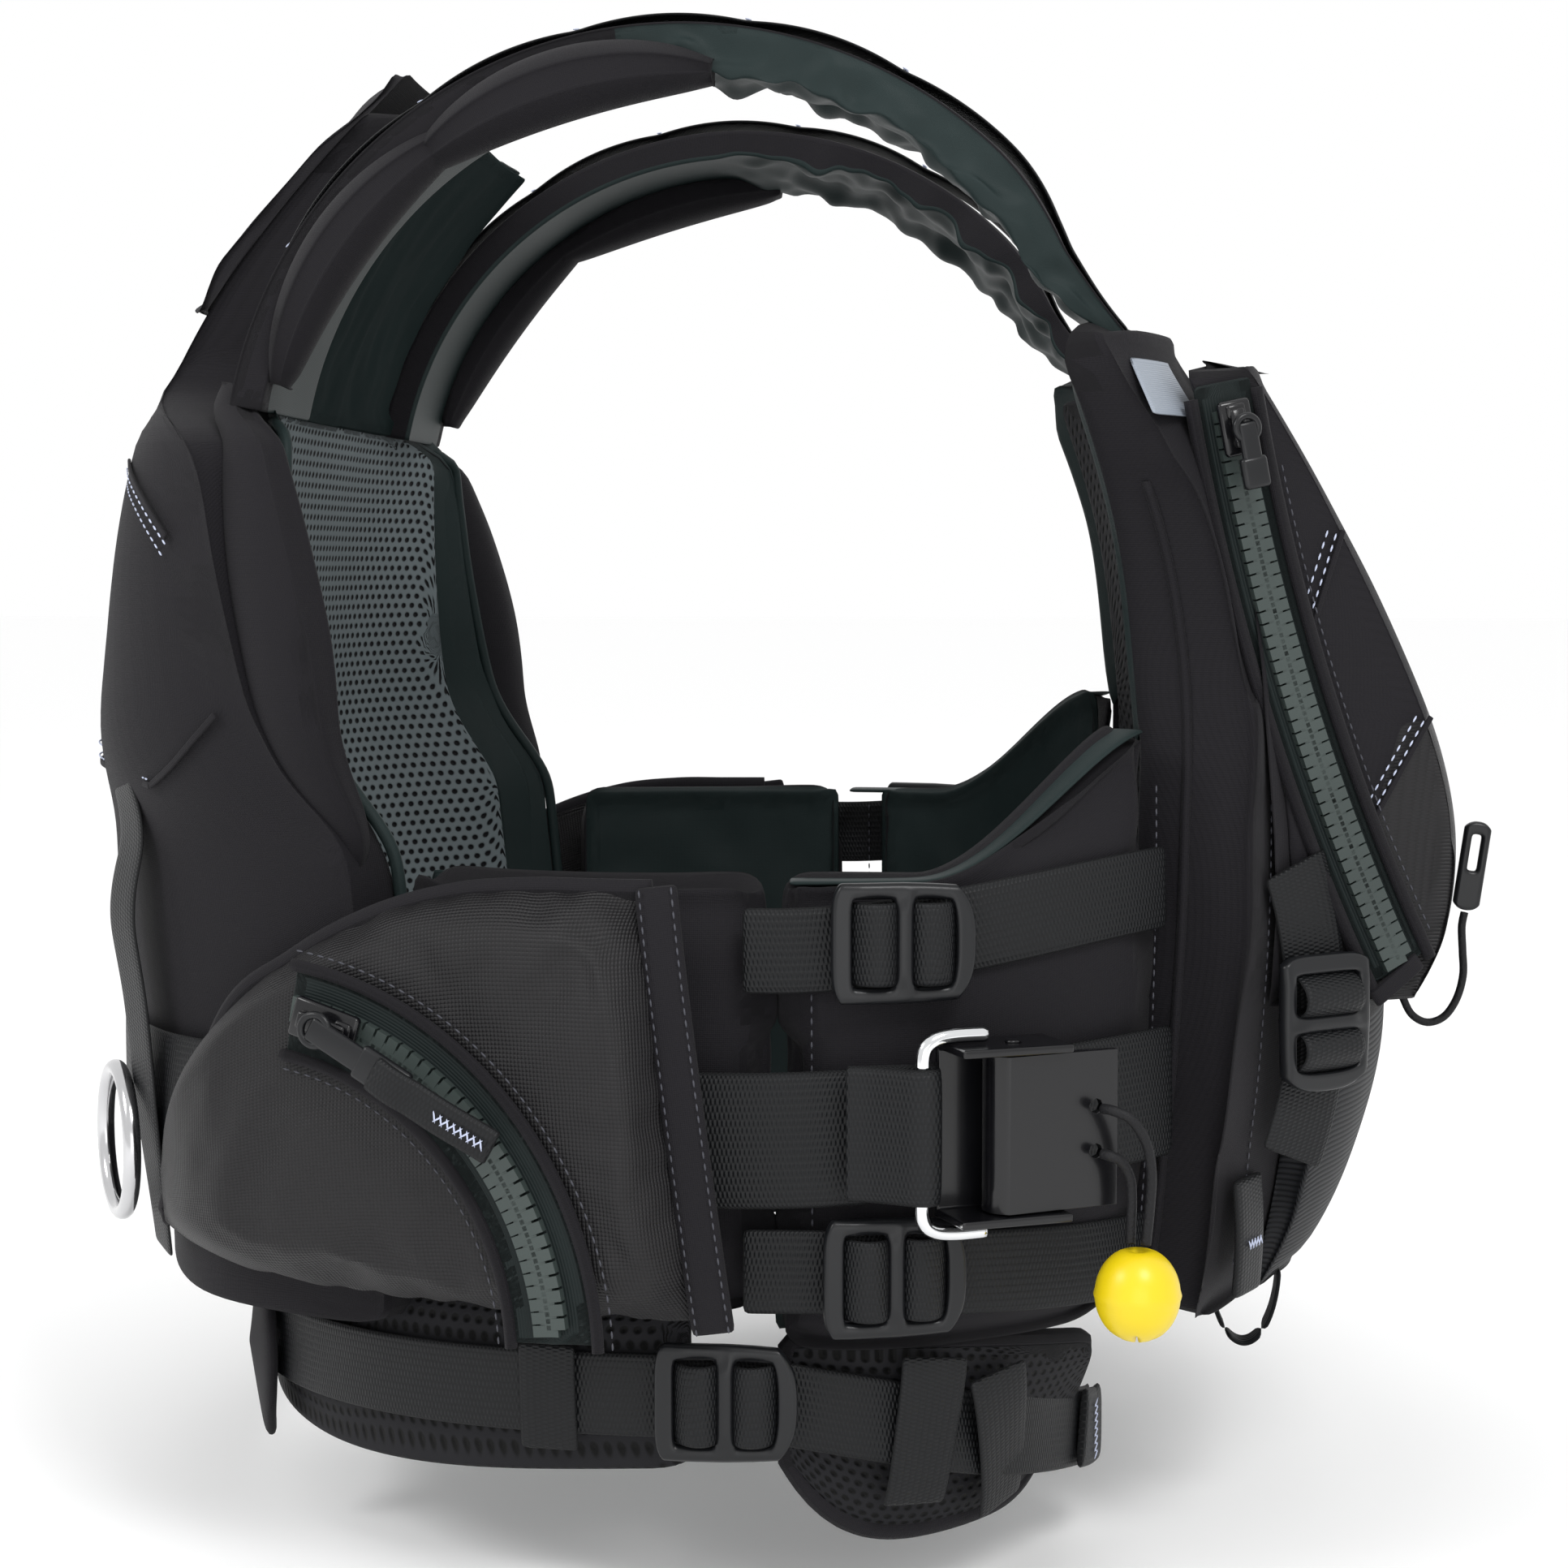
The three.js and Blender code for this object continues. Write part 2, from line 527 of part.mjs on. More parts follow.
function channel() {
  const half = BUCKLE_HEIGHT / 2;
  const shape = new THREE.Shape();
  shape.moveTo(-half, 0);
  shape.lineTo(half, 0);
  shape.lineTo(half, BUCKLE_FLANGE);
  shape.lineTo(half - BUCKLE_PLATE, BUCKLE_FLANGE);
  shape.lineTo(half - BUCKLE_PLATE, BUCKLE_PLATE);
  shape.lineTo(BUCKLE_PLATE - half, BUCKLE_PLATE);
  shape.lineTo(BUCKLE_PLATE - half, BUCKLE_FLANGE);
  shape.lineTo(-half, BUCKLE_FLANGE);
  shape.closePath();
  const body = extruded(shape, BUCKLE_LENGTH);
  // The section's first axis becomes y, its second z, and the extrusion runs along x.
  body.applyMatrix4(new THREE.Matrix4().makeBasis(
    new THREE.Vector3(0, 1, 0), new THREE.Vector3(0, 0, 1), new THREE.Vector3(1, 0, 0)));
  body.translate(-BUCKLE_LENGTH / 2 - 2, 0, 0);
  const hole = rod(PIN_RADIUS + PIN_CLEARANCE, BUCKLE_HEIGHT + 4);
  hole.translate(0, 0, drumZ);
  return cut(body, hole);
}

const leverHeight = BUCKLE_HEIGHT - 2 * BUCKLE_PLATE - 2 * CLEAR;
function lever() {
  const shape = new THREE.Shape();
  shape.moveTo(0, -DRUM_RADIUS);
  shape.absarc(0, 0, DRUM_RADIUS, -Math.PI / 2, -1.35 * Math.PI, true);
  shape.lineTo(LEVER_REACH, DRUM_RADIUS * 0.55);
  shape.lineTo(LEVER_REACH, DRUM_RADIUS * 0.55 - BUCKLE_PLATE);
  shape.lineTo(DRUM_RADIUS, DRUM_RADIUS * 0.2);
  shape.lineTo(DRUM_RADIUS * 0.85, -DRUM_RADIUS * 0.5);
  shape.closePath();
  const body = extruded(shape, leverHeight, 10);
  body.rotateX(Math.PI / 2);
  body.translate(0, leverHeight / 2, drumZ);
  const bore = rod(PIN_RADIUS + PIN_CLEARANCE, leverHeight + 4);
  bore.translate(0, 0, drumZ);
  const holes = CORD_HOLES.map((y) => {
    const hole = rod(CORD_HOLE_RADIUS, 40, 8).rotateX(Math.PI / 2);
    hole.translate(holeX, y, drumZ + 10);
    return hole;
  });
  return cut(body, bore, ...holes);
}

add('buckle_frame', channel(), FINISH.gloss, buckleFrame);
add('buckle_lever', lever(), FINISH.gloss, buckleFrame);
const pin = rod(PIN_RADIUS, BUCKLE_HEIGHT + 1.5);
pin.translate(0, 0, drumZ);
add('buckle_pin', pin, FINISH.chrome, buckleFrame);
const barReach = BUCKLE_HEIGHT / 2 + BAR_RADIUS + CLEAR;
const barPoints = [[-8, barReach], [-20, barReach], [-25, barReach - 1.5], [-27, barReach - 6], [-27, 0],
  [-27, 6 - barReach], [-25, 1.5 - barReach], [-20, -barReach], [-8, -barReach]];
const BAR_HEIGHT = 9; // above the back of the channel
const barRoute = barPoints.map(([x, y]) => new THREE.Vector3(x, y, BAR_HEIGHT));
add('buckle_bar', tube(barRoute, BAR_RADIUS, 18, 6), FINISH.chrome, buckleFrame);

// The pull cord's two legs run from the lever's holes to the toggle ball, hand-laid in the buckle's frame.
const plateZ = drumZ + DRUM_RADIUS * 0.62;
const CORD_UPPER = [[holeX, 6.5, plateZ + 2.5], [holeX + 1.5, 6.4, plateZ + 6], [holeX + 6, 4, plateZ + 8.5],
  [holeX + 10.5, -3, plateZ + 9], [holeX + 12.5, -12, plateZ + 8.5], [holeX + 12.3, -22, plateZ + 8],
  [holeX + 11.2, -32.5, plateZ + 8]];
const CORD_LOWER = [[holeX, -6.5, plateZ + 2.5], [holeX + 1.2, -6.7, plateZ + 4.6], [holeX + 4.5, -8.5, plateZ + 5.4],
  [holeX + 7.5, -13.5, plateZ + 5], [holeX + 8.3, -20, plateZ + 4.6], [holeX + 8.2, -26, plateZ + 4.5],
  [holeX + 8, -32.5, plateZ + 4.5]];
for (const [name, route] of [['pull_cord_upper', CORD_UPPER], ['pull_cord_lower', CORD_LOWER]]) {
  add(name, tube(route.map((p) => new THREE.Vector3(...p)), CORD_DIAMETER / 2, 10), FINISH.cord, buckleFrame);
}
function ball() {
  const profile = [];
  const count = 7;
  for (let i = 0; i <= count; i += 1) {
    const turn = (i / count) * Math.PI;
    const x = i === 0 || i === count ? 0 : (BALL_DIAMETER / 2) * Math.sin(turn);
    profile.push(new THREE.Vector2(x, (-BALL_HEIGHT / 2) * Math.cos(turn)));
  }
  return merged(new THREE.LatheGeometry(profile, 12));
}
const toggle = ball();
toggle.translate(holeX + 9.6, -33.5 - BALL_HEIGHT / 2, plateZ + 6.2);
add('toggle_ball', toggle, FINISH.toggle, buckleFrame);

// ---------------------------------------------------------------- shoulder adjusters on the front panel
// Each strap comes out beside the chest pocket, lies on its wall and goes back to the front panel below it. Its route
// is given in the wall's plane: how far along the wall, how far off it, and the height.
const ADJUST_ROUTE = [[25, 5.5, 200], [29, 4.6, 188], [32, 4, 174], [33, 4, 160], [33, 4, 140], [30, 4.6, 124],
  [25, 5.6, 110]];
const ADJUST_LOCK = [33, 7.8, 152];
const ADJUST_TURN = rad(16); // how far the strap faces further forward than the wall
for (const [side, word] of SIDES) {
  const onWall = ([along, off, height]) => {
    const point = WALL_REAR.clone().addScaledVector(wallForward, along).addScaledVector(wallOut, off).setZ(height);
    return point.multiply(new THREE.Vector3(1, -side, 1));
  };
  const turned = (direction) => {
    const local = direction.clone().applyAxisAngle(new THREE.Vector3(0, 0, 1), ADJUST_TURN);
    return local.multiply(new THREE.Vector3(1, -side, 1));
  };
  const facing = turned(wallOut);
  const ahead = turned(wallForward);
  const rows = ADJUST_ROUTE.length - 1;
  add(`shoulder_adjust_strap_${word}`, wrapped(rows, 1, (u, v, w) => (
    onWall(ADJUST_ROUTE[Math.round(u * rows)])
      .addScaledVector(ahead, (v - 0.5) * SIDE_WEBBING)
      .addScaledVector(facing, w * WEBBING_THICKNESS)
  )), FINISH.webbing);
  const lockFrame = frameFrom(onWall(ADJUST_LOCK), new THREE.Vector3(0, 0, -1), facing);
  add(`ladder_lock_shoulder_${word}`, ladderLock(), FINISH.plastic, lockFrame);
}

// ---------------------------------------------------------------- side pockets
const POCKET_REAR_ANGLE = 143;
const POCKET_FRONT_ANGLE = 91;
const POCKET_EDGE = 5; // thickness of a pocket at its bound edge
const underPocket = (angle) => overBelt(angle) + WEBBING_THICKNESS + 1.5 * GAP;
const pocketArc = (angle) => Math.sqrt(1 - Math.max(0, (angle - 108) / 35.6) ** 2);
const pocketTop = (angle) => WING_BOTTOM + (WING_TOP - WING_BOTTOM) * pocketArc(angle);
const pocketBottom = (angle) => WING_BOTTOM + 14 * Math.max(0, (angle - 126) / 17) ** 2;

// The right pocket's face is flat where its zip lies: an upright plane through two points of the pocket.
const zipPlaneRear = around(-1, 131, 120, underPocket(131) + POCKET_THICKNESS - 3);
const zipPlaneFront = around(-1, 96, 120, underPocket(96) + POCKET_THICKNESS - 5);
const zipForward = zipPlaneFront.clone().sub(zipPlaneRear).setZ(0).normalize();
const zipOut = new THREE.Vector3(zipForward.y, -zipForward.x, 0);

for (const [side, word] of SIDES) {
  add(`side_pocket_${word}`, wrapped(9, 6, (u, v, w) => {
    const angle = POCKET_REAR_ANGLE + (POCKET_FRONT_ANGLE - POCKET_REAR_ANGLE) * u;
    const height = pocketBottom(angle) + v * (pocketTop(angle) - pocketBottom(angle));
    if (w < 0.5) return around(side, angle, height, underPocket(angle));
    const inward = Math.min(u * 4, (1 - u) * 6, v * 5, (1 - v) * 5, 1);
    const full = POCKET_EDGE + (POCKET_THICKNESS - POCKET_EDGE) * Math.sin((inward * Math.PI) / 2);
    const point = around(side, angle, height, underPocket(angle) + full);
    const past = point.clone().sub(zipPlaneRear).dot(zipOut);
    return side < 0 && past > 0 ? point.addScaledVector(zipOut, -past) : point;
  }), FINISH.cordura);
}

// ---------------------------------------------------------------- zips
// A zip lies on a flat face, on an arc about a centre: its frame has the arc's centre at the origin, x forward,
// y up and z out of the face. Angles run anticlockwise as seen from outside.
function zip(name, frame, radius, start, end, tapeWidth, sliderAt, pullLength, pullWidth, pullTurn) {
  const count = Math.max(6, Math.round(Math.abs(end - start) / 9));
  add(`${name}_zip_tape`, wrapped(count, 1, (u, v, w) => {
    const turn = rad(start + (end - start) * u);
    const r = radius + (v - 0.5) * tapeWidth;
    return new THREE.Vector3(r * Math.cos(turn), r * Math.sin(turn), w * SKIN);
  }), FINISH.tape, frame);
  const chainTop = SKIN + 2.5;
  const at = rad(sliderAt);
  const sliderFrame = frame.clone().multiply(new THREE.Matrix4().makeRotationZ(at - Math.PI / 2)
    .setPosition(radius * Math.cos(at), radius * Math.sin(at), chainTop + CLEAR));
  add(`${name}_zip_slider`, extruded(roundedRectangle(SLIDER_LENGTH, SLIDER_WIDTH, 3), SLIDER_THICKNESS, 2),
    FINISH.gloss, sliderFrame);
  const pullFrame = sliderFrame.clone().multiply(new THREE.Matrix4().makeRotationZ(rad(pullTurn))
    .setPosition(0, 0, SLIDER_THICKNESS + 2 * CLEAR));
  const pull = extruded(roundedRectangle(pullLength, pullWidth, 2), PULL_THICKNESS, 1);
  pull.translate(pullLength / 2 - PULL_THICKNESS / 2, 0, 0);
  add(`${name}_zip_pull`, pull, FINISH.plastic, pullFrame);
}

const sideZipCentre = zipPlaneRear.clone().addScaledVector(zipForward, 8).addScaledVector(zipOut, CLEAR).setZ(66);
zip('side', frameFrom(sideZipCentre, zipForward, zipOut), SIDE_ZIP_RADIUS, 3, 81,
  SIDE_TAPE_WIDTH, 5 + SIDE_ZIP_SWEEP, 64, 10, -12);
const chestZipCentre = WALL_REAR.clone().addScaledVector(wallForward, 649).addScaledVector(wallOut, CLEAR).setZ(470);
zip('chest', frameFrom(chestZipCentre, wallForward, wallOut), CHEST_ZIP_RADIUS, 191, 191.4 + CHEST_ZIP_SWEEP,
  CHEST_TAPE_WIDTH, 192.2, 19, 9, 180);

// ---------------------------------------------------------------- back ring
const RING_ANGLE = 152;
const RING_HEIGHT = 107;
const KEEPER_BOTTOM = 90;
const KEEPER_TOP = 225;
const KEEPER_ANGLE = 147.5;
add('ring_keeper', wrapped(7, 2, (u, v, w) => {
  const height = KEEPER_BOTTOM + (KEEPER_TOP - KEEPER_BOTTOM) * u;
  const angle = KEEPER_ANGLE + (v - 0.5) * 7.5;
  return around(-1, angle, height, overBelt(angle) + WEBBING_THICKNESS + GAP + w * WEBBING_THICKNESS);
}), FINISH.webbing);
const ringOffset = overBelt(RING_ANGLE) + 2 * WEBBING_THICKNESS + 3.5 * GAP + RING_WIRE / 2;
const ring = merged(new THREE.TorusGeometry((RING_OUTER_DIAMETER - RING_WIRE) / 2, RING_WIRE / 2, 6, 16));
add('back_ring', ring, FINISH.chrome, sideFrame(-1, RING_ANGLE, RING_HEIGHT, ringOffset));

// ---------------------------------------------------------------- waist belt and pads
const WAIST_PAD_INNER = 3;
const WAIST_PAD_OUTER = 14;
const LUMBAR_ANGLE = 94;
add('lumbar_pad', wrapped(18, 2, (u, v, w) => {
  const turn = LUMBAR_ANGLE + (360 - 2 * LUMBAR_ANGLE) * u;
  const side = turn <= 180 ? -1 : 1;
  const angle = turn <= 180 ? turn : 360 - turn;
  const height = 24 + (PANEL_BOTTOM - 28) * v;
  return around(side, angle, height, WAIST_PAD_INNER + w * (WAIST_PAD_OUTER - WAIST_PAD_INNER));
}), FINISH.mesh);

const waistHeight = through([[45, 17], [63, 29], [80, 43], [91, 48], [150, 43]]);
const waistOffset = WAIST_PAD_OUTER + GAP + 0.5;
const WAIST_LOCK_ANGLE = 90.5;
for (const [side, word] of SIDES) {
  add(`waist_pad_${word}`, wrapped(8, 3, (u, v, w) => {
    const angle = 85 + (49 - 85) * u;
    const bottom = 1 + 24 * Math.abs(2 * u - 1) ** 4;
    const top = WING_BOTTOM - 14 - 12 * u * u;
    const height = bottom + (top - bottom) * v;
    return around(side, angle, height, WAIST_PAD_INNER + w * (WAIST_PAD_OUTER - WAIST_PAD_INNER));
  }), FINISH.mesh);
  add(`waist_belt_${word}`, wrapped(16, 1, (u, v, w) => {
    const angle = 150 + (43 - 150) * u;
    const height = waistHeight(angle) + (v - 0.5) * SIDE_WEBBING;
    return around(side, angle, height, waistOffset + w * WEBBING_THICKNESS);
  }), FINISH.webbing);
  add(`ladder_lock_waist_${word}`, ladderLock(), FINISH.plastic,
    sideFrame(side, WAIST_LOCK_ANGLE, waistHeight(WAIST_LOCK_ANGLE), waistOffset + WEBBING_THICKNESS + GAP + 1));
}

// ---------------------------------------------------------------- tabs and cord on the front
const TAB_HEIGHT = 87;
const tabOrigin = across(true, -104, TAB_HEIGHT, frontShellOuter(TAB_HEIGHT) + 2.8 * GAP);
const tabOut = planNormal(tabOrigin.x, tabOrigin.y, TAB_HEIGHT);
const tabFrame = frameFrom(tabOrigin, new THREE.Vector3(-tabOut.y, tabOut.x, 0), tabOut);
add('lash_tab', block(20, 36, 3).translate(0, 0, 1.5), FINISH.webbing, tabFrame);

// An elastic cord hangs in a short loop from under the chest pocket to a moulded pull tab in front of it.
const CORD_Y = -34;
const FRONT_CORD_RADIUS = 1.3;
const FRONT_CORD = [[64, 152], [66, 146], [69, 140.5], [74, 138], [79.5, 140], [83.5, 146], [85.5, 154], [85.2, 162],
  [84.8, 170], [85.6, 175]];
const frontRoute = FRONT_CORD.map(([x, z]) => new THREE.Vector3(FRONT_DEPTH + x, CORD_Y, z));
add('front_cord', tube(frontRoute, FRONT_CORD_RADIUS, 14), FINISH.cord);
const TAB_THICKNESS = 5;
const pullTab = extruded(roundedRectangle(30, 9, 4), TAB_THICKNESS, 3).translate(15, 0, -TAB_THICKNESS / 2);
const tabSlot = block(12, 2, 4 * TAB_THICKNESS).translate(19, 0, 0);
add('front_pull_tab', cut(pullTab, tabSlot), FINISH.plastic,
  frameFrom(new THREE.Vector3(FRONT_DEPTH + 85.7, CORD_Y, 175.6), new THREE.Vector3(0.14, 0, 1),
    new THREE.Vector3(0, -1, 0)));

const lowered = new THREE.Group();
lowered.add(vest);
vest.position.z = -SHOULDER_HEIGHT;

export default lowered;
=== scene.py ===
# %% [markdown]
# # A rescue buoyancy vest, dressed around its fixed frame
# The frame file holds the vest's plain solids: where each panel, strap and buckle is, and how the moving ones turn.
# This lesson keeps those places and gives every piece the form and finish of the sewn or moulded one. The vest hangs
# as if worn: +X is the wearer's front, +Y the wearer's left, and the side we look at is the wearer's right.

# %% The frame and its size
import math

import bmesh
import bpy
from mathutils import Matrix, Vector, noise


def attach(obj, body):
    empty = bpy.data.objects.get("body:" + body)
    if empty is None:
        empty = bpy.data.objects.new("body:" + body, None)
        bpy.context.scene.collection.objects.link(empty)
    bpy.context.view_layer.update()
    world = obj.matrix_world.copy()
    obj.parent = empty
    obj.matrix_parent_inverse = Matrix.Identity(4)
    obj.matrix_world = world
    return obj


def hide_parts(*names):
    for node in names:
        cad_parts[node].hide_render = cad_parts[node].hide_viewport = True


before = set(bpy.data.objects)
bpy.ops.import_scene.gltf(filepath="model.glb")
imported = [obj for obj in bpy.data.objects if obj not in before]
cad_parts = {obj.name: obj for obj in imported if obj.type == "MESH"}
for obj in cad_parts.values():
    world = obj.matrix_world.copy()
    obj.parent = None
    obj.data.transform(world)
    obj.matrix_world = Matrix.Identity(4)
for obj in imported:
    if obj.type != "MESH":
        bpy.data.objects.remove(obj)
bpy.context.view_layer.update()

# %% [markdown]
# The camera stands level with the chest, a metre from the wearer's right side. It turns a few degrees towards the
# back and down, which brings the whole vest into the square picture without shifting the lens.

# %% Camera
camera_data = bpy.data.cameras.new("camera")
camera_data.lens = 66.3
camera_data.clip_end = 50
camera = bpy.data.objects.new("camera", camera_data)
camera.location = (0.077, -1.0, -0.147)
camera_aim = Vector((0.0017, 0.0, -0.2243))
camera.rotation_euler = (camera_aim - camera.location).to_track_quat("-Z", "Y").to_euler()
bpy.context.scene.collection.objects.link(camera)
bpy.context.scene.camera = camera
bpy.context.scene.view_settings.view_transform = "Standard"
print("camera lens:", camera_data.lens)

# %% [markdown]
# Everything soft lies on the wearer's chest, so the chest is described once: a rounded rectangle in plan whose
# depth, width and squareness change with height. Heights are counted up from the hem. A smooth curve runs through
# a few chosen rows of height and value.

# %% The wearer's chest
HEM = -0.438
HALF_WIDTH = 0.162
FRONT_DEPTH = 0.145
BACK_DEPTH = 0.180


def smoothstep(x, low, high):
    s = min(max((x - low) / (high - low), 0.0), 1.0)
    return s * s * (3 - 2 * s)


def lerp(a, b, share):
    return a + (b - a) * share


def evenly(low, high, steps):
    """Values from low to high in equal steps, both ends included."""
    return [lerp(low, high, i / steps) for i in range(steps + 1)]


def through(rows):
    """A smooth curve through rows of height and value, level beyond both ends."""
    last = len(rows) - 1
    slopes = []
    for i in range(last + 1):
        before, after = rows[max(i - 1, 0)], rows[min(i + 1, last)]
        slopes.append((after[1] - before[1]) / (after[0] - before[0]))

    def value(height):
        if height <= rows[0][0]:
            return rows[0][1]
        if height >= rows[last][0]:
            return rows[last][1]
        i = max(k for k in range(last) if rows[k][0] <= height)
        span = rows[i + 1][0] - rows[i][0]
        s = (height - rows[i][0]) / span
        rise = (rows[i + 1][1] - rows[i][1]) * s * s * (3 - 2 * s)
        return rows[i][1] + rise + slopes[i] * span * s * (1 - s) ** 2 + slopes[i + 1] * span * s * s * (s - 1)

    return value


front_shape = through([(0, 0.66), (0.02, 0.7), (0.07, 0.9), (0.11, 0.965), (0.15, 1), (0.2, 1), (0.25, 0.938),
                       (0.35, 0.81)])
back_shape = through([(0, 0.88), (0.06, 0.905), (0.13, 0.978), (0.2, 1.01), (0.28, 0.944), (0.326, 0.889),
                      (0.369, 0.817),
                      (0.409, 0.678), (0.45, 0.472)])
width_shape = through([(0, 0.97), (0.06, 1), (0.25, 0.99), (0.35, 0.963), (0.42, 0.864), (0.45, 0.8)])
front_squareness = through([(0, 2.4), (0.2, 2.4), (0.33, 3.4), (0.45, 3.4)])
back_squareness = through([(0, 2.4), (0.2, 2.4), (0.245, 3.5), (0.29, 4), (0.34, 4.2), (0.45, 4.2)])


def squareness(front, height):
    return front_squareness(height) if front else back_squareness(height)


def depth_at(front, height):
    return FRONT_DEPTH * front_shape(height) if front else BACK_DEPTH * back_shape(height)


def plan_normal(x, y, height):
    depth, half, power = depth_at(x > 0, height), HALF_WIDTH * width_shape(height), squareness(x > 0, height) - 1
    nx = math.copysign(abs(x / depth) ** power / depth, x)
    ny = math.copysign(abs(y / half) ** power / half, y)
    return Vector((nx, ny, 0)).normalized()


def around(side, angle, height, offset=0.0):
    """A point over the chest at an angle from the front (0) to the back (180), right side -1 or left side 1."""
    c, s = math.cos(math.radians(angle)), math.sin(math.radians(angle))
    power = squareness(c > 0, height)
    reach = abs(c / depth_at(c > 0, height)) ** power + abs(s / (HALF_WIDTH * width_shape(height))) ** power
    x, y = reach ** (-1 / power) * c, side * reach ** (-1 / power) * s
    return Vector((x, y, HEM + height)) + plan_normal(x, y, height) * offset


def across(front, y, height, offset=0.0):
    """A point over the front or the back, y from the centre plane."""
    power = squareness(front, height)
    share = min(abs(y / (HALF_WIDTH * width_shape(height))) ** power, 0.98)
    x = (1 if front else -1) * depth_at(front, height) * (1 - share) ** (1 / power)
    return Vector((x, y, HEM + height)) + plan_normal(x, y, height) * offset


print("chest at 0.2 m:", [round(c, 3) for c in around(-1, 90, 0.2)])

# %% [markdown]
# The layers of the vest, counted outwards from the chest: liner, foam, shell fabric, then webbing. The side wings
# are half as thick as the front and back slabs, so the back slab thins down towards its side edges.

# %% Layers
GAP = 0.0012
SKIN = 0.0015
WEBBING = 0.0016
WING_OUTER = 0.020
WING_BOTTOM, WING_TOP = 0.076, 0.198
BACK_FOAM = 0.038
FRONT_FOAM = 0.039
BELT_MIDDLE = 0.13
SIDES = ((-1, "right"), (1, "left"))

back_share = through([(0, 1), (0.33, 1), (0.37, 0.84), (0.41, 0.72), (0.44, 0.68)])
front_share = through([(0, 0.92), (0.12, 1), (0.2, 1), (0.25, 0.95), (0.3, 0.84), (0.345, 0.66), (0.365, 0.56)])


def back_shell(angle, height):
    """Chest to the outside of the back shell."""
    foam = WING_OUTER + (BACK_FOAM - WING_OUTER) * smoothstep(angle, 122, 146)
    high = BACK_FOAM * back_share(height)
    return foam + (high - foam) * smoothstep(height, 0.315, 0.345) + GAP + SKIN


def front_shell(height):
    return FRONT_FOAM * front_share(height) + GAP + SKIN


def under_belt(angle):
    return (back_shell(angle, BELT_MIDDLE) if angle > 121 else WING_OUTER + GAP + SKIN) + 1.5 * GAP


back_half = through([(0.06, 0.141), (0.2, 0.142), (0.25, 0.143), (0.3, 0.138), (0.337, 0.13)])
front_half = through([(0.06, 0.108), (0.11, 0.112), (0.2, 0.112), (0.25, 0.11), (0.3, 0.118), (0.35, 0.132)])
print("back shell at the belt:", round(back_shell(180, BELT_MIDDLE), 4))

# %% [markdown]
# ## Finishes
# A weave, a mesh or a rib is a small pattern that repeats on the cloth, so each is a shader node group that reads a
# place on the cloth in metres and puts out a height and a mask. Every sewn piece carries a UV map measured in
# metres, called "cloth", for that. The groups hold only arithmetic; the shader itself stays in each material.

# %% Node helpers
def calc(tree, operation, *values):
    node = tree.nodes.new("ShaderNodeMath")
    node.operation = operation
    for socket, value in zip(node.inputs, values):
        if isinstance(value, (int, float)):
            socket.default_value = value
        else:
            tree.links.new(value, socket)
    return node.outputs[0]


def new_group(name, inputs, outputs):
    group = bpy.data.node_groups.new(name, "ShaderNodeTree")
    for label, kind, default in inputs:
        socket = group.interface.new_socket(label, in_out="INPUT", socket_type=kind)
        if default is not None:
            socket.default_value = default
    for label in outputs:
        group.interface.new_socket(label, in_out="OUTPUT", socket_type="NodeSocketFloat")
    return group, group.nodes.new("NodeGroupInput").outputs, group.nodes.new("NodeGroupOutput").inputs


def split(tree, vector):
    node = tree.nodes.new("ShaderNodeSeparateXYZ")
    tree.links.new(vector, node.inputs[0])
    return node.outputs


def wave(tree, value, pitch, phase=0.0):
    """A smooth wave from 0 to 1 that repeats every pitch."""
    turn = calc(tree, "MULTIPLY", calc(tree, "DIVIDE", value, pitch), 2 * math.pi)
    return calc(tree, "MULTIPLY_ADD", calc(tree, "SINE", calc(tree, "ADD", turn, phase)), 0.5, 0.5)


print("node helpers ready")

# %% [markdown]
# Webbing is woven in narrow ribs across its length, staggered from column to column. Coarse pack cloth is a basket
# weave: pairs of threads pass over and under, so raised lozenges alternate like a chess board. Knitted mesh has rows
# of round holes, each row half a step along. Stretch knit is plain ribs.

# %% Weave groups
def cloth_group(name, outputs, **sizes):
    """A group that reads a place on the cloth, with its own sizes in metres as inputs."""
    inputs = [("Cloth", "NodeSocketVector", None)]
    inputs += [(label.replace("_", " "), "NodeSocketFloat", value) for label, value in sizes.items()]
    tree, given, result = new_group(name, inputs, outputs)
    return tree, given, result, split(tree, given["Cloth"])


def make_webbing_group():
    tree, given, result, (u, v, _) = cloth_group("webbing_weave", ["Height"], Pitch=0.0013)
    column = calc(tree, "FLOOR", calc(tree, "DIVIDE", v, calc(tree, "MULTIPLY", given["Pitch"], 1.6)))
    stagger = calc(tree, "MULTIPLY", calc(tree, "MODULO", column, 2.0), math.pi)
    rib = wave(tree, u, given["Pitch"], stagger)
    edge = wave(tree, v, calc(tree, "MULTIPLY", given["Pitch"], 1.6), -math.pi / 2)
    tree.links.new(calc(tree, "MULTIPLY", rib, calc(tree, "POWER", edge, 0.5)), result["Height"])
    return tree


def make_basket_group():
    tree, given, result, (u, v, _) = cloth_group("basket_weave", ["Height"], Pitch=0.0022)
    a = wave(tree, u, given["Pitch"])
    b = wave(tree, v, given["Pitch"])
    over = calc(tree, "ABSOLUTE", calc(tree, "SUBTRACT", a, b))
    under = calc(tree, "ABSOLUTE", calc(tree, "SUBTRACT", calc(tree, "ADD", a, b), 1.0))
    tree.links.new(calc(tree, "MAXIMUM", over, under), result["Height"])
    return tree


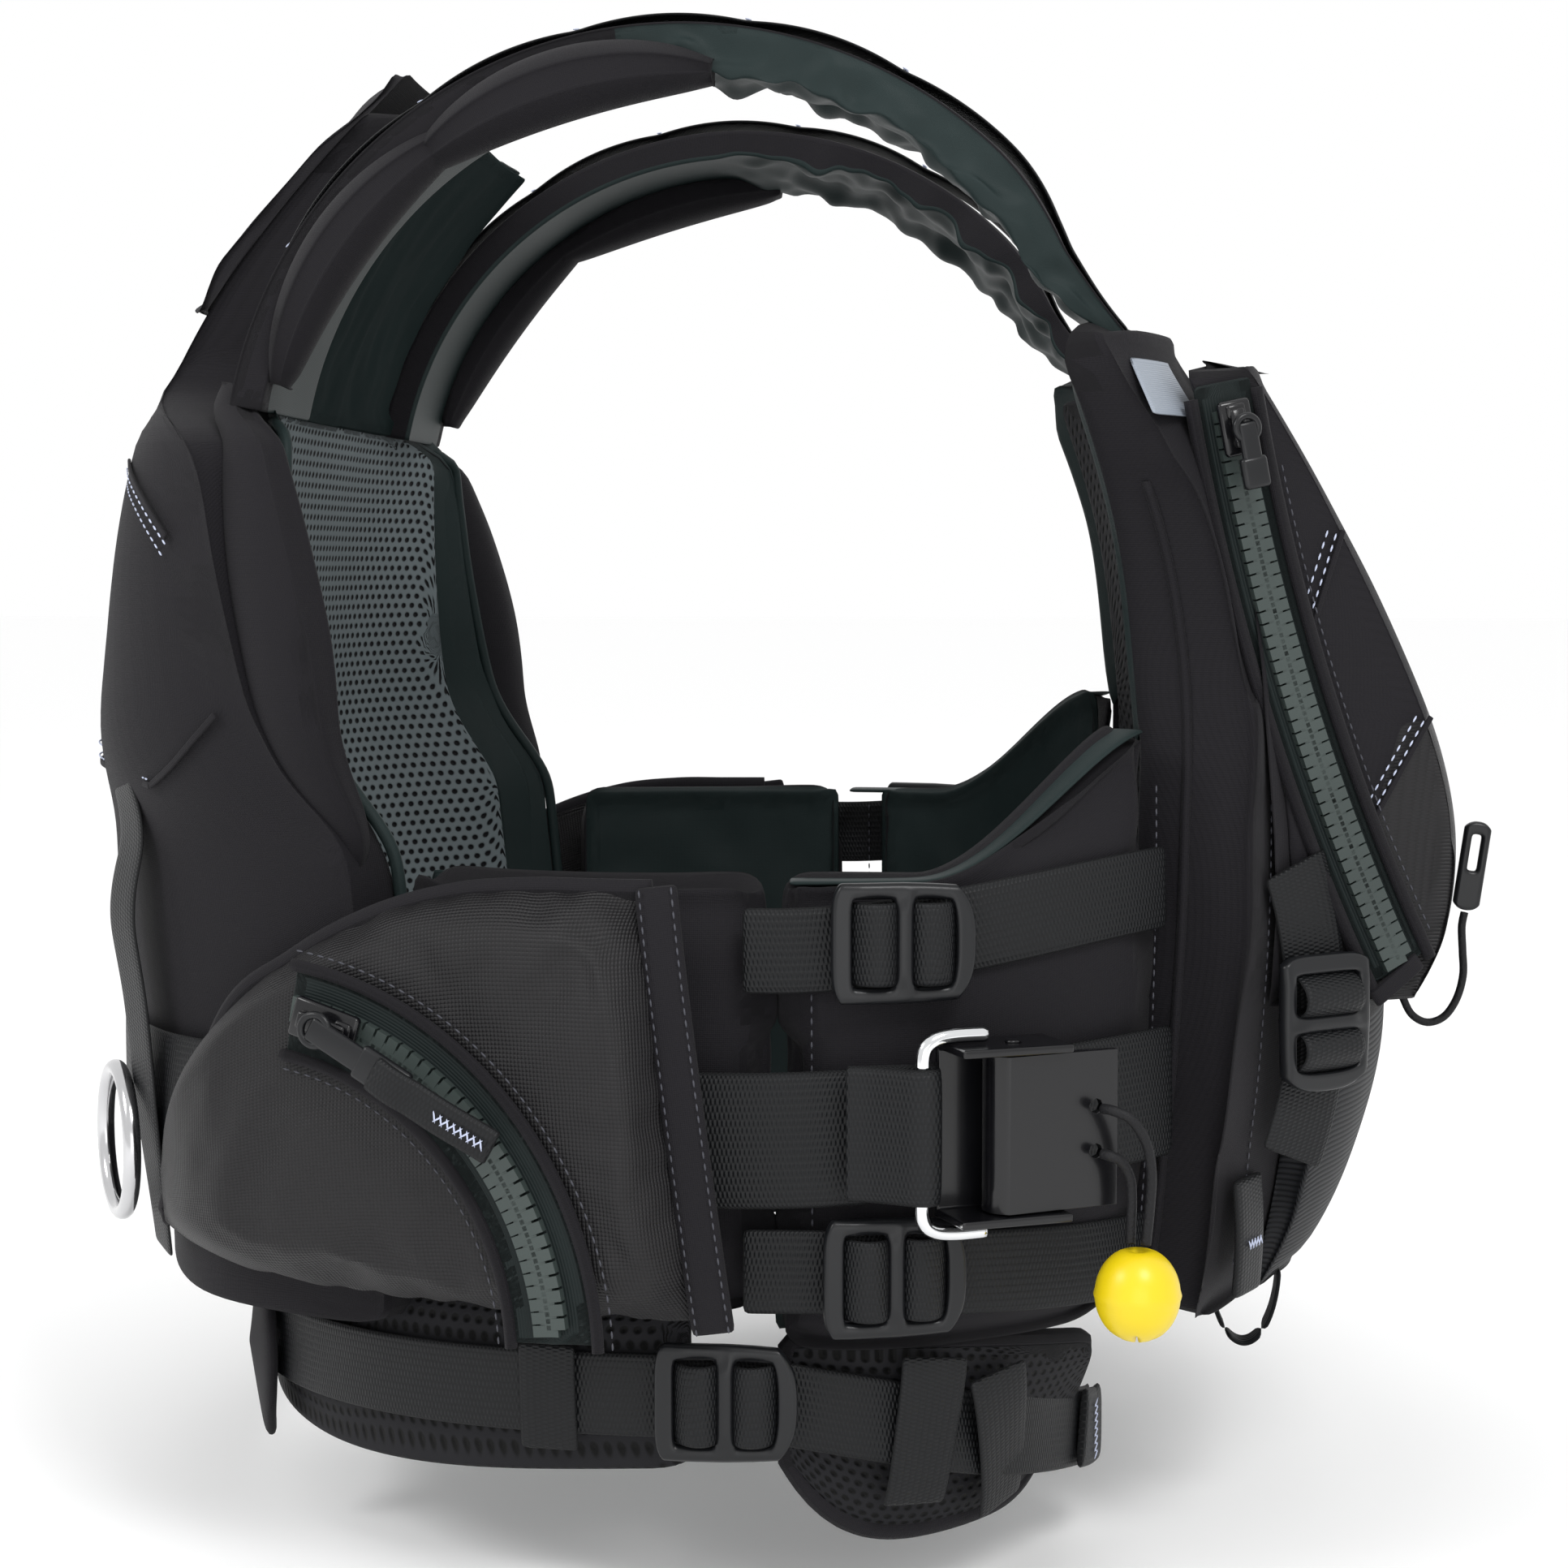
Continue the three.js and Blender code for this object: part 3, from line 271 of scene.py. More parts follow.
def make_hole_group():
    tree, given, result, (u, v, _) = cloth_group("hole_mesh", ["Hole", "Height"], Pitch_U=0.0046, Pitch_V=0.0036,
                                                 Size=0.3)
    across_v = calc(tree, "DIVIDE", v, given["Pitch V"])
    shift = calc(tree, "MULTIPLY", calc(tree, "MODULO", calc(tree, "FLOOR", across_v), 2.0), 0.5)
    along_u = calc(tree, "ADD", calc(tree, "DIVIDE", u, given["Pitch U"]), shift)
    du = calc(tree, "SUBTRACT", calc(tree, "FRACT", along_u), 0.5)
    dv = calc(tree, "SUBTRACT", calc(tree, "FRACT", across_v), 0.5)
    far = calc(tree, "SQRT", calc(tree, "ADD", calc(tree, "MULTIPLY", du, du), calc(tree, "MULTIPLY", dv, dv)))
    hole = calc(tree, "SUBTRACT", 1.0, calc(tree, "SMOOTH_MIN", calc(tree, "DIVIDE", far, given["Size"]), 1.0, 0.3))
    tree.links.new(calc(tree, "MINIMUM", calc(tree, "MULTIPLY", hole, 3.0), 1.0), result["Hole"])
    tree.links.new(calc(tree, "SUBTRACT", 1.0, hole), result["Height"])
    return tree


def make_rib_group():
    tree, given, result, (_, v, _) = cloth_group("knit_rib", ["Height"], Pitch=0.0022)
    tree.links.new(calc(tree, "POWER", wave(tree, v, given["Pitch"]), 0.6), result["Height"])
    return tree


def make_use_group():
    """Slow patches of tone and fine grain, for cloth and plastic that have been handled."""
    tree, given, result = new_group("use_and_grain",
                                    [("Place", "NodeSocketVector", None), ("Patches", "NodeSocketFloat", 18.0),
                                                      ("Grain", "NodeSocketFloat", 1800.0)], ["Tone", "Grain"])
    for label, scale, detail in (("Tone", "Patches", 4.0), ("Grain", "Grain", 1.0)):
        texture = tree.nodes.new("ShaderNodeTexNoise")
        texture.inputs["Detail"].default_value = detail
        tree.links.new(given["Place"], texture.inputs["Vector"])
        tree.links.new(given[scale], texture.inputs["Scale"])
        tree.links.new(texture.outputs["Fac"], result[label])
    return tree


WEAVES = {"webbing": make_webbing_group(), "basket": make_basket_group(), "holes": make_hole_group(),
          "ribs": make_rib_group()}
USE = make_use_group()
print("weaves:", sorted(WEAVES))

# %% [markdown]
# One function builds a finish: a dark and a light tone mixed by the slow patches, roughness from the same patches,
# and a bump from the weave plus fine grain. Painted shade darkens the weave's low places in the colour. Whatever is the
# same all over the piece, such as sheen or metal, is set straight on the shader.

# %% The finish maker
def link_use(tree, patches, grain):
    place = tree.nodes.new("ShaderNodeTexCoord").outputs["Object"]
    use = tree.nodes.new("ShaderNodeGroup")
    use.node_tree = USE
    use.inputs["Patches"].default_value = patches
    use.inputs["Grain"].default_value = grain
    tree.links.new(place, use.inputs["Place"])
    return use.outputs


def mix_colors(tree, share, first, second):
    mix = tree.nodes.new("ShaderNodeMix")
    mix.data_type = "RGBA"
    tree.links.new(share, mix.inputs[0])
    for socket, value in ((mix.inputs[6], first), (mix.inputs[7], second)):
        if isinstance(value, tuple):
            socket.default_value = (*value, 1)
        else:
            tree.links.new(value, socket)
    return mix.outputs[2]


def finish(name, dark, light, rough, weave=None, pitch=None, depth=0.0002, grain_depth=0.00004, patches=18.0,
           grain=1800.0, crevice_shade=0.0, hole_color=(0.004, 0.004, 0.005), **fixed):
    """dark and light are the two tones, rough the low and high roughness, crevice_shade how much painted shade darkens
    the weave's lows.
    """
    material = bpy.data.materials.new(name)
    material.use_nodes = True
    tree = material.node_tree
    shader = tree.nodes["Principled BSDF"]
    use = link_use(tree, patches, grain)
    color = mix_colors(tree, use["Tone"], dark, light)
    height = calc(tree, "MULTIPLY", use["Grain"], grain_depth)
    if weave:
        group = tree.nodes.new("ShaderNodeGroup")
        group.node_tree = WEAVES[weave]
        cloth = tree.nodes.new("ShaderNodeUVMap")
        cloth.uv_map = "cloth"
        tree.links.new(cloth.outputs[0], group.inputs["Cloth"])
        for label, value in (pitch or {}).items():
            group.inputs[label].default_value = value
        height = calc(tree, "MULTIPLY_ADD", group.outputs["Height"], depth, height)
        if weave == "holes":
            color = mix_colors(tree, group.outputs["Hole"], color, hole_color)
        # Painted shade: the weave's low places are darkened towards a quarter of the dark tone.
        elif crevice_shade:
            low = calc(tree, "MULTIPLY", calc(tree, "SUBTRACT", 1.0, group.outputs["Height"]), crevice_shade)
            color = mix_colors(tree, low, color, tuple(c * 0.25 for c in dark))
    tree.links.new(color, shader.inputs["Base Color"])
    tree.links.new(calc(tree, "MULTIPLY_ADD", use["Tone"], rough[1] - rough[0], rough[0]), shader.inputs["Roughness"])
    bump = tree.nodes.new("ShaderNodeBump")
    bump.inputs["Strength"].default_value = 1.0
    bump.inputs["Distance"].default_value = 1.0
    tree.links.new(height, bump.inputs["Height"])
    tree.links.new(bump.outputs[0], shader.inputs["Normal"])
    for label, value in fixed.items():
        shader.inputs[label.replace("_", " ")].default_value = value
    return material


# %% [markdown]
# The vest's finishes. The shell is black stretch softshell with a dry, slightly furry look; the lining is thin
# green-grey nylon that shines where it creases; the liner is grey perforated mesh.

# %% The vest's finishes
SHELL = finish("softshell", (0.0062, 0.0056, 0.0074), (0.0112, 0.0102, 0.0128), (0.68, 0.84), "basket",
               {"Pitch": 0.0012},
               0.00010, 0.00010, crevice_shade=0.35, Sheen_Weight=0.03, Sheen_Roughness=0.45, Specular_IOR_Level=0.18)
LINING = finish("nylon_lining", (0.0105, 0.0175, 0.0175), (0.0185, 0.0285, 0.0285), (0.42, 0.56), "basket",
                {"Pitch": 0.0009},
                0.00004, Specular_IOR_Level=0.12)
# The neck's nylon is the lining cloth again. Its darker tones are painted shade, and its surface is duller so that it
# does not take the key lamp's grazing light.
SHADED_LINING = finish("neck_nylon_painted_shade", (0.0085, 0.0145, 0.0145), (0.0155, 0.0245, 0.0245), (0.82, 0.92), "basket",
              {"Pitch": 0.0009},
              0.00003, Specular_IOR_Level=0.03)
LINER = finish("perforated_mesh", (0.115, 0.138, 0.146), (0.160, 0.188, 0.196), (0.7, 0.85), "holes",
               {"Pitch U": 0.0048, "Pitch V": 0.0037, "Size": 0.34}, 0.0007, Specular_IOR_Level=0.15)
FINE_LINER = finish("fine_mesh", (0.072, 0.088, 0.093), (0.105, 0.124, 0.130), (0.7, 0.85), "holes",
                    {"Pitch U": 0.0024, "Pitch V": 0.0019, "Size": 0.3}, 0.0004, Specular_IOR_Level=0.15)
AIR_MESH = finish("air_mesh", (0.0065, 0.0065, 0.008), (0.0125, 0.0125, 0.015), (0.65, 0.8), "holes",
                  {"Pitch U": 0.0042, "Pitch V": 0.0034, "Size": 0.36}, 0.0009, hole_color=(0.001, 0.001, 0.001),
                  Specular_IOR_Level=0.2)
PACK_CLOTH = finish("pack_cloth", (0.0055, 0.005, 0.006), (0.0105, 0.0097, 0.0112), (0.42, 0.58), "basket",
                    {"Pitch": 0.0023},
                    0.00030, crevice_shade=0.9, Specular_IOR_Level=0.3)
STRETCH = finish("ribbed_stretch", (0.0062, 0.0068, 0.0085), (0.0115, 0.0125, 0.0155), (0.5, 0.66), "ribs",
                 {"Pitch": 0.0019},
                 0.00035, crevice_shade=0.85, Specular_IOR_Level=0.22)
WEB = finish("webbing", (0.0036, 0.0041, 0.005), (0.0078, 0.0087, 0.0104), (0.42, 0.56), "webbing",
             {"Pitch": 0.0013}, 0.00022,
             crevice_shade=0.6, Specular_IOR_Level=0.25)
TAPE = finish("zip_tape", (0.004, 0.0075, 0.0075), (0.0075, 0.0125, 0.0125), (0.55, 0.7), "ribs", {"Pitch": 0.0009},
              0.0001,
              Specular_IOR_Level=0.2)
PLASTIC = finish("satin_plastic", (0.0052, 0.0056, 0.0065), (0.0085, 0.009, 0.0104), (0.26, 0.38),
                 grain_depth=0.00002,
                 grain=2600.0, Specular_IOR_Level=0.32)
GLOSS = finish("gloss_plastic", (0.0032, 0.0032, 0.004), (0.0055, 0.0055, 0.0066), (0.14, 0.26), grain_depth=0.000006,
               patches=40.0, Specular_IOR_Level=0.35, Coat_Weight=0.12)
CHROME = finish("chrome", (0.66, 0.67, 0.68), (0.78, 0.79, 0.80), (0.06, 0.14), grain_depth=0.000002, patches=60.0,
                Metallic=1.0)
STEEL = finish("stainless", (0.50, 0.50, 0.51), (0.64, 0.64, 0.65), (0.10, 0.22), grain_depth=0.000003, patches=70.0,
               Metallic=1.0)
TEETH = finish("zip_teeth", (0.027, 0.036, 0.034), (0.046, 0.060, 0.056), (0.34, 0.46), grain_depth=0.00001,
               Specular_IOR_Level=0.35)
YELLOW = finish("yellow_toggle", (0.66, 0.49, 0.003), (0.74, 0.56, 0.005), (0.30, 0.42), grain_depth=0.00001,
                patches=30.0)
CORD = finish("cord", (0.0032, 0.0032, 0.004), (0.0085, 0.0085, 0.010), (0.5, 0.65), grain_depth=0.0003, grain=1100.0,
              Specular_IOR_Level=0.25)
PALE_THREAD = finish("pale_thread", (0.36, 0.40, 0.54), (0.54, 0.58, 0.72), (0.5, 0.65), grain_depth=0.00004)
DARK_THREAD = finish("dark_thread", (0.026, 0.027, 0.036), (0.050, 0.051, 0.064), (0.5, 0.65), grain_depth=0.00004)
PATCH = finish("grey_patch", (0.20, 0.23, 0.27), (0.29, 0.32, 0.37), (0.4, 0.52), "ribs", {"Pitch": 0.0008}, 0.0001)

# %% [markdown]
# ## Making sewn pieces
# Nearly every panel is a bent slab, so one helper makes them: a flat grid is extruded into a closed box one unit
# wide, and every corner is then moved to its place on the chest. The grid's own square gives the cloth its UV map,
# in metres, before the corners move. The rim is bevelled, so that cloth turns round the foam instead of folding.

# %% Slabs
UP = Vector((0, 0, 1))


def shade_smooth(bm):
    for face in bm.faces:
        face.smooth = True
    return bm


def verts_in(geom):
    return [part for part in geom if isinstance(part, bmesh.types.BMVert)]


def lengths_along(spots):
    """How far each spot is along its line, from the first."""
    lengths = [0.0]
    for a, b in zip(spots, spots[1:]):
        lengths.append(lengths[-1] + (b - a).length)
    return lengths


def lay_lengths(spots):
    """How far each spot is along its row, counted from the row's middle."""
    lengths = lengths_along(spots)
    return [length - lengths[len(spots) // 2] for length in lengths]


def slab_mesh(nu, nv, place, rim=0.0, rim_steps=2):
    """place(u, v, w) gives the points. Faces at w = 0, against the wearer, get material 1."""
    bm = bmesh.new()
    bmesh.ops.create_grid(bm, x_segments=nu, y_segments=nv, size=0.5)
    bmesh.ops.translate(bm, verts=bm.verts, vec=(0.5, 0.5, 0))
    lifted = bmesh.ops.extrude_face_region(bm, geom=bm.faces[:])["geom"]
    bmesh.ops.translate(bm, verts=verts_in(lifted), vec=UP)
    bm.normal_update()
    rows = [lay_lengths([place(i / nu, j / nv, 1.0) for i in range(nu + 1)]) for j in range(nv + 1)]
    column = lay_lengths([place(0.5, j / nv, 1.0) for j in range(nv + 1)])
    cloth = bm.loops.layers.uv.new("cloth")
    for face in bm.faces:
        flat = abs(face.normal.z) > 0.5
        across_u = abs(face.normal.x) > 0.5
        face.material_index = 1 if flat and face.calc_center_median().z < 0.5 else 0
        face.smooth = True
        for loop in face.loops:
            spot = loop.vert.co
            lift = 0.0 if flat else spot.z * 0.012
            i, j = round(spot.x * nu), round(spot.y * nv)
            loop[cloth].uv = (rows[j][i] + lift * across_u, column[j] + lift * (not across_u))
    rims = [e for e in bm.edges if sum(abs(f.normal.z) > 0.5 for f in e.link_faces) == 1]
    for v in bm.verts:
        v.co = place(*v.co)
    if rim:
        bmesh.ops.bevel(bm, geom=rims, offset=rim, offset_type="OFFSET", segments=rim_steps, profile=0.5,
                        affect="EDGES", material=-1, clamp_overlap=True)
    bmesh.ops.recalc_face_normals(bm, faces=bm.faces)
    return bm


def piece(name, bm, materials, body="vest", stands_for=(), smooth=1):
    """Turn a bmesh into a named piece that rides on a body and wears the given materials."""
    mesh = bpy.data.meshes.new(name)
    bm.to_mesh(mesh)
    bm.free()
    for material in materials if isinstance(materials, (list, tuple)) else [materials]:
        mesh.materials.append(material)
    thing = bpy.data.objects.new(name, mesh)
    bpy.context.scene.collection.objects.link(thing)
    if smooth:
        soften = thing.modifiers.new("soften", "SUBSURF")
        soften.levels = soften.render_levels = smooth
    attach(thing, body)
    if stands_for:
        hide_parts(*stands_for)
    return thing


print("one helper makes slabs, one names and rides them")

# %% [markdown]
# Cloth is never quite even. Small dents come from a noise field read at each point: it moves the point in or out
# along the panel, more where the cloth is slack. Gathered cloth gets long wrinkles instead, so the field is read
# more closely in one direction.

# %% Dents and wrinkles
def dent(spot, size, amount, seed=0.0):
    """A smooth push between -amount and amount that changes over a distance of size."""
    return noise.noise(spot / size + Vector((seed, 2 * seed, 3 * seed))) * amount


def wrinkle(u, v, along, across_count, amount, seed=0.0):
    """Long folds: many across v, few along u."""
    return noise.noise(Vector((u * along + seed, v * across_count, seed * 3.1))) * amount


print("dent sample:", round(dent(Vector((0.1, 0.2, 0.3)), 0.04, 0.002), 5))

# %% [markdown]
# Padded pieces are blown up with a short cloth simulation: the edges and the side against the body are pinned, air
# pressure lifts the rest, and the cloth is allowed to grow a little so that it puckers towards its seams. The result
# is capped, so that it cannot grow into its neighbours, and then kept as plain mesh.

# %% Puffing
def puff(thing, pressure=4.0, grow=0.03, cap=0.006, pinned=None, frames=20):
    """pinned(vertex) is true where the cloth is sewn down. Without it, the faces of material 1 are."""
    mesh = thing.data
    held = {i for p in mesh.polygons if p.material_index == 1 for i in p.vertices}
    if pinned:
        held = {v.index for v in mesh.vertices if pinned(v.co)}
    for modifier in list(thing.modifiers):
        thing.modifiers.remove(modifier)
    before = [v.co.copy() for v in mesh.vertices]
    group = thing.vertex_groups.new(name="sewn")
    group.add(list(held), 1.0, "REPLACE")
    cloth = thing.modifiers.new("cloth", "CLOTH")
    cloth.settings.quality = 5
    cloth.settings.mass = 0.2
    cloth.settings.tension_stiffness = cloth.settings.compression_stiffness = 12
    cloth.settings.bending_stiffness = 0.4
    cloth.settings.vertex_group_mass = "sewn"
    cloth.settings.use_pressure = True
    cloth.settings.uniform_pressure_force = pressure
    cloth.settings.shrink_min = -grow
    cloth.settings.effector_weights.gravity = 0
    cloth.collision_settings.use_collision = False
    scene = bpy.context.scene
    for step in range(1, frames + 1):
        scene.frame_set(step)
    graph = bpy.context.evaluated_depsgraph_get()
    shape = thing.evaluated_get(graph).to_mesh()
    after = [v.co.copy() for v in shape.vertices]
    thing.evaluated_get(graph).to_mesh_clear()
    thing.modifiers.remove(cloth)
    scene.frame_set(1)
    moved = 0.0
    for v, old, new in zip(mesh.vertices, before, after):
        step = new - old
        if step.length > cap:
            step *= cap / step.length
        v.co = old + step
        moved = max(moved, step.length)
    thing.vertex_groups.clear()
    soften = thing.modifiers.new("soften", "SUBSURF")
    soften.levels = soften.render_levels = 1
    print(thing.name, "puffed by up to", round(moved * 1000, 1), "mm")
    return thing


# %% [markdown]
# Webbing is a flat woven tape with slightly rounded selvedges. It is a slab whose thickness drops a little at both
# edges. It follows a line of points, each with the direction that faces out of the cloth.

# %% Webbing and tubes
def smooth_line(points, steps):
    """Points evenly spaced on a curve through the given ones."""
    points = [Vector(p) for p in points]
    dense = []
    for i in range(len(points) - 1):
        p0, p1, p2, p3 = points[max(i - 1, 0)], points[i], points[i + 1], points[min(i + 2, len(points) - 1)]
        for k in range(16):
            t = k / 16
            dense.append(0.5 * (2 * p1 + (p2 - p0) * t + (2 * p0 - 5 * p1 + 4 * p2 - p3) * t * t
                                + (3 * p1 - p0 - 3 * p2 + p3) * t ** 3))
    dense.append(points[-1])
    return resample(dense, steps)


def resample(line, steps):
    """The same line cut into equal steps."""
    lengths = lengths_along(line)
    spots, k = [], 0
    for i in range(steps + 1):
        target = lengths[-1] * i / steps
        while k < len(line) - 2 and lengths[k + 1] < target:
            k += 1
        span = max(lengths[k + 1] - lengths[k], 1e-9)
        spots.append(line[k].lerp(line[k + 1], (target - lengths[k]) / span))
    return spots


def line_length(line):
    return sum((b - a).length for a, b in zip(line, line[1:]))


def webbing(name, line, outs, width, material=None, body="vest", stands_for=(), thick=WEBBING, smooth=1, sway=0.0):
    """A strap along a line of points. outs is one outward direction, one for each point, or a rule for them."""
    line = [Vector(p) for p in line]
    count = len(line) - 1
    if callable(outs):
        outs = [outs(p) for p in line]
    elif isinstance(outs, (tuple, Vector)):
        outs = [Vector(outs)] * (count + 1)

    def place(u, v, w):
        k = round(u * count)
        along = (line[min(k + 1, count)] - line[max(k - 1, 0)]).normalized()
        side = outs[k].cross(along).normalized()
        out = along.cross(side)
        thin = thick * (1 - 0.35 * abs(2 * v - 1) ** 6)
        slack = sway * math.sin(math.pi * u) * (v - 0.5)
        return line[k] + side * (v - 0.5) * width + out * ((w - 0.5) * thin + slack)

    return piece(name, slab_mesh(count, 6, place), material or WEB, body, stands_for, smooth)


def tube_mesh(line, radius, sides=10, closed=False, squash=1.0):
    """A round tube along a line, grown ring by ring. radius is a number or a function of the share of the way."""
    line = [Vector(p) for p in line]
    count = len(line)
    bm = bmesh.new()
    rim = bmesh.ops.create_circle(bm, cap_ends=not closed, segments=sides, radius=1.0)["verts"]
    size = radius if callable(radius) else (lambda share: radius)
    cloth = bm.loops.layers.uv.new("cloth")
    basis_before = Matrix.Identity(4)
    ring = rim
    rings = []
    out = line[0].normalized() if line[0].length else Vector((0, 0, 1))
    for i, spot in enumerate(line):
        ahead = line[(i + 1) % count] if closed or i + 1 < count else spot
        behind = line[i - 1] if closed or i else spot
        along = (ahead - behind).normalized()
        out = (out - along * out.dot(along)).normalized()
        basis = Matrix((along.cross(out), out * squash, along)).transposed().to_4x4()
        basis = Matrix.Translation(spot) @ basis @ Matrix.Scale(size(i / max(count - 1, 1)), 4)
        if i:
            edges = [e for e in bm.edges if e.verts[0] in set(ring) and e.verts[1] in set(ring)]
            grown = bmesh.ops.extrude_edge_only(bm, edges=edges)["geom"]
            ring = verts_in(grown)
        bmesh.ops.transform(bm, matrix=basis @ basis_before.inverted(), verts=ring)
        basis_before = basis
        rings.append(ring)
    if closed:
        first = [e for e in bm.edges if all(v in set(rings[0]) for v in e.verts)]
        last = [e for e in bm.edges if all(v in set(rings[-1]) for v in e.verts)]
        bmesh.ops.bridge_loops(bm, edges=first + last)
    else:
        bmesh.ops.holes_fill(bm, edges=[e for e in bm.edges if e.is_boundary], sides=0)
    step = line_length(line) / count
    index = {v: (i * step, k / sides) for i, members in enumerate(rings) for k, v in enumerate(members)}
    for face in bm.faces:
        face.smooth = True
        for loop in face.loops:
            along_way, turn = index.get(loop.vert, (0, 0))
            loop[cloth].uv = (along_way, turn * 2 * math.pi * size(0.5))
    bmesh.ops.recalc_face_normals(bm, faces=bm.faces)
    return bm


print("curve check:", round(line_length(smooth_line([(0, 0, 0), (1, 0, 0), (2, 1, 0)], 20)), 3))

# %% [markdown]
# A line of stitches is hundreds of tiny thread arches, so each one is a small rounded grain of a few dozen faces,
# turned along the seam. All grains of one seam go into one mesh. A zigzag tack is the same grain turned to and fro.

# %% Stitches
def grains(name, spots, thread, body="vest", size=(0.0026, 0.0007, 0.0006)):
    """spots holds (place, along, out) for each grain."""
    bm = bmesh.new()
    for place, along, out in spots:
        side = out.cross(along).normalized()
        turn = Matrix((along.normalized(), side, along.cross(side).normalized())).transposed().to_4x4()
        shape = Matrix.Translation(place) @ turn @ Matrix.Diagonal((*(s / 2 for s in size), 1))
        bmesh.ops.create_icosphere(bm, subdivisions=1, radius=1.0, matrix=shape)
    return piece(name, shade_smooth(bm), thread, body, smooth=0)


def seam_spots(line, outs, pitch=0.0034, lift=0.0003, offset=0.0):
    """Grain places along a line; outs is a function of a point, giving the direction out of the cloth."""
    count = max(2, int(line_length(line) / pitch))
    even = resample([Vector(p) for p in line], count)
    spots = []
    for a, b in zip(even, even[1:]):
        along, middle = (b - a).normalized(), (a + b) / 2
        out = outs(middle) if callable(outs) else outs
        spots.append((middle + out * lift + out.cross(along).normalized() * offset, along, out))
    return spots


def zigzag_spots(start, along, out, length, width, pitch=0.0016):
    """A bar of zigzag stitches from start, running in the direction along."""
    side = out.cross(along).normalized()
    count = int(length / pitch)
    spots = []
    for k in range(count):
        centre = start + along * (k + 0.5) * pitch + out * 0.0004
        lean = (along * pitch + side * width * (1 if k % 2 else -1)).normalized()
        spots.append((centre, lean, out))
    return spots


def chest_out(point):
    return plan_normal(point.x, point.y, point.z - HEM)


print("stitch helpers ready")

# %% [markdown]
# ## The back and front slabs
# The back and the front are thick foam slabs in a softshell skin, lined on the wearer's side. A padded box bent
# round the chest gives both. The back slab narrows at the neck, where the shoulder straps take over; its slow dents
# are what keep large plain cloth from looking like plastic.

# %% Back slab and front slab
FOAM_INNER = 0.0032
SLAB_BOTTOM, BACK_TOP, FRONT_TOP, HORN_RISE = 0.062, 0.434, 0.326, 0.034


def angle_of(point):
    return abs(math.degrees(math.atan2(point.y, point.x)))


def back_half_at(height):
    return lerp(back_half(min(height, 0.337)), 0.072, smoothstep(height, 0.330, 0.347))


def back_place(inner, outer, trim=0.0, bottom=SLAB_BOTTOM, top=BACK_TOP, slack=0.0012):
    def place(u, v, w):
        height = lerp(bottom + trim, top - trim, v)
        y = (2 * u - 1) * (back_half_at(height) - trim)
        base = across(False, y, height)
        offset = outer(angle_of(base), height) if w > 0.5 else inner
        soft = dent(base, 0.045, slack, 1.3) if 0.02 < u < 0.98 else 0.0
        return across(False, y, height, offset + soft)
    return place


def horn_thinning(height):
    """The front slab thins where its two upper corners rise to the shoulder straps."""
    return 1 - 0.42 * smoothstep(height, 0.318, 0.362)


def front_place(inner, outer, trim=0.0, slack=0.0012):
    def place(u, v, w):
        share = abs(2 * u - 1)
        top = FRONT_TOP + HORN_RISE * smoothstep(share, 0.4, 0.6) - trim
        height = lerp(SLAB_BOTTOM + trim, top, v)
        y = (2 * u - 1) * (front_half(height) - trim)
        base = across(True, y, height)
        offset = outer(height) * horn_thinning(height) if w > 0.5 else inner
        return across(True, y, height, offset + dent(base, 0.045, slack, 4.2))
    return place


back_slab = piece("back_slab", slab_mesh(34, 40, back_place(FOAM_INNER, back_shell), 0.006, 3), [SHELL, LINING],
                  stands_for=["back_foam", "back_shell"])
front_slab = piece("front_slab", slab_mesh(30, 32, front_place(FOAM_INNER, front_shell), 0.006, 3), [SHELL, LINING],
                   stands_for=["front_foam", "front_shell"])
print("slabs:", len(back_slab.data.polygons), len(front_slab.data.polygons), "faces")

# %% [markdown]
# The liner against the wearer is knitted mesh with rows of round holes. The lower band of the back and the whole
# front are a finer, darker mesh. Each is a thin slab inside its foam. The back one has a lining strip over each edge.

# %% Liners
def liner(name, place, material, stands_for, nu=30, nv=40):
    return piece(name, slab_mesh(nu, nv, place, 0.0006, 1), [material, material], stands_for=stands_for)


liner("back_liner", back_place(0.0002, lambda a, h: 0.0022, 0.010, bottom=0.112, top=0.352, slack=0.001), LINER,
      ["back_mesh_liner"], 60, 40)
liner("back_liner_low", back_place(0.0001, lambda a, h: 0.0021, 0.004, top=0.122, slack=0.0004), FINE_LINER, [], 60,
      12)
liner("front_liner", front_place(0.0002, lambda h: 0.0022, 0.008, slack=0.0005), AIR_MESH, ["front_mesh_liner"])


def yoke_place(u, v, w):
    """Loose nylon over the neck, in long soft folds that run up and down."""
    height = lerp(0.338, 0.431, v)
    y = (2 * u - 1) * (back_half_at(height) - 0.004)
    fold = wrinkle(v, u, 2.2, 7, 0.0034, 5.0) + wrinkle(v, u, 6, 15, 0.0014, 8.0)
    return across(False, y, height, 0.0026 if w > 0.5 else -0.0028 + min(fold, 0.0016) * math.sin(math.pi * v) ** 0.4)


piece("back_yoke", slab_mesh(56, 30, yoke_place, 0.0006, 1), [SHADED_LINING, SHADED_LINING])
print("liners ready")


def edge_line(side, low, high, offset, trim=0.0, steps=40, front=False):
    """Up the side edge of the back or front slab."""
    half = front_half if front else back_half_at
    return [across(front, side * (half(h) - trim), h, offset(h) if callable(offset) else offset)
            for h in evenly(low, high, steps)]


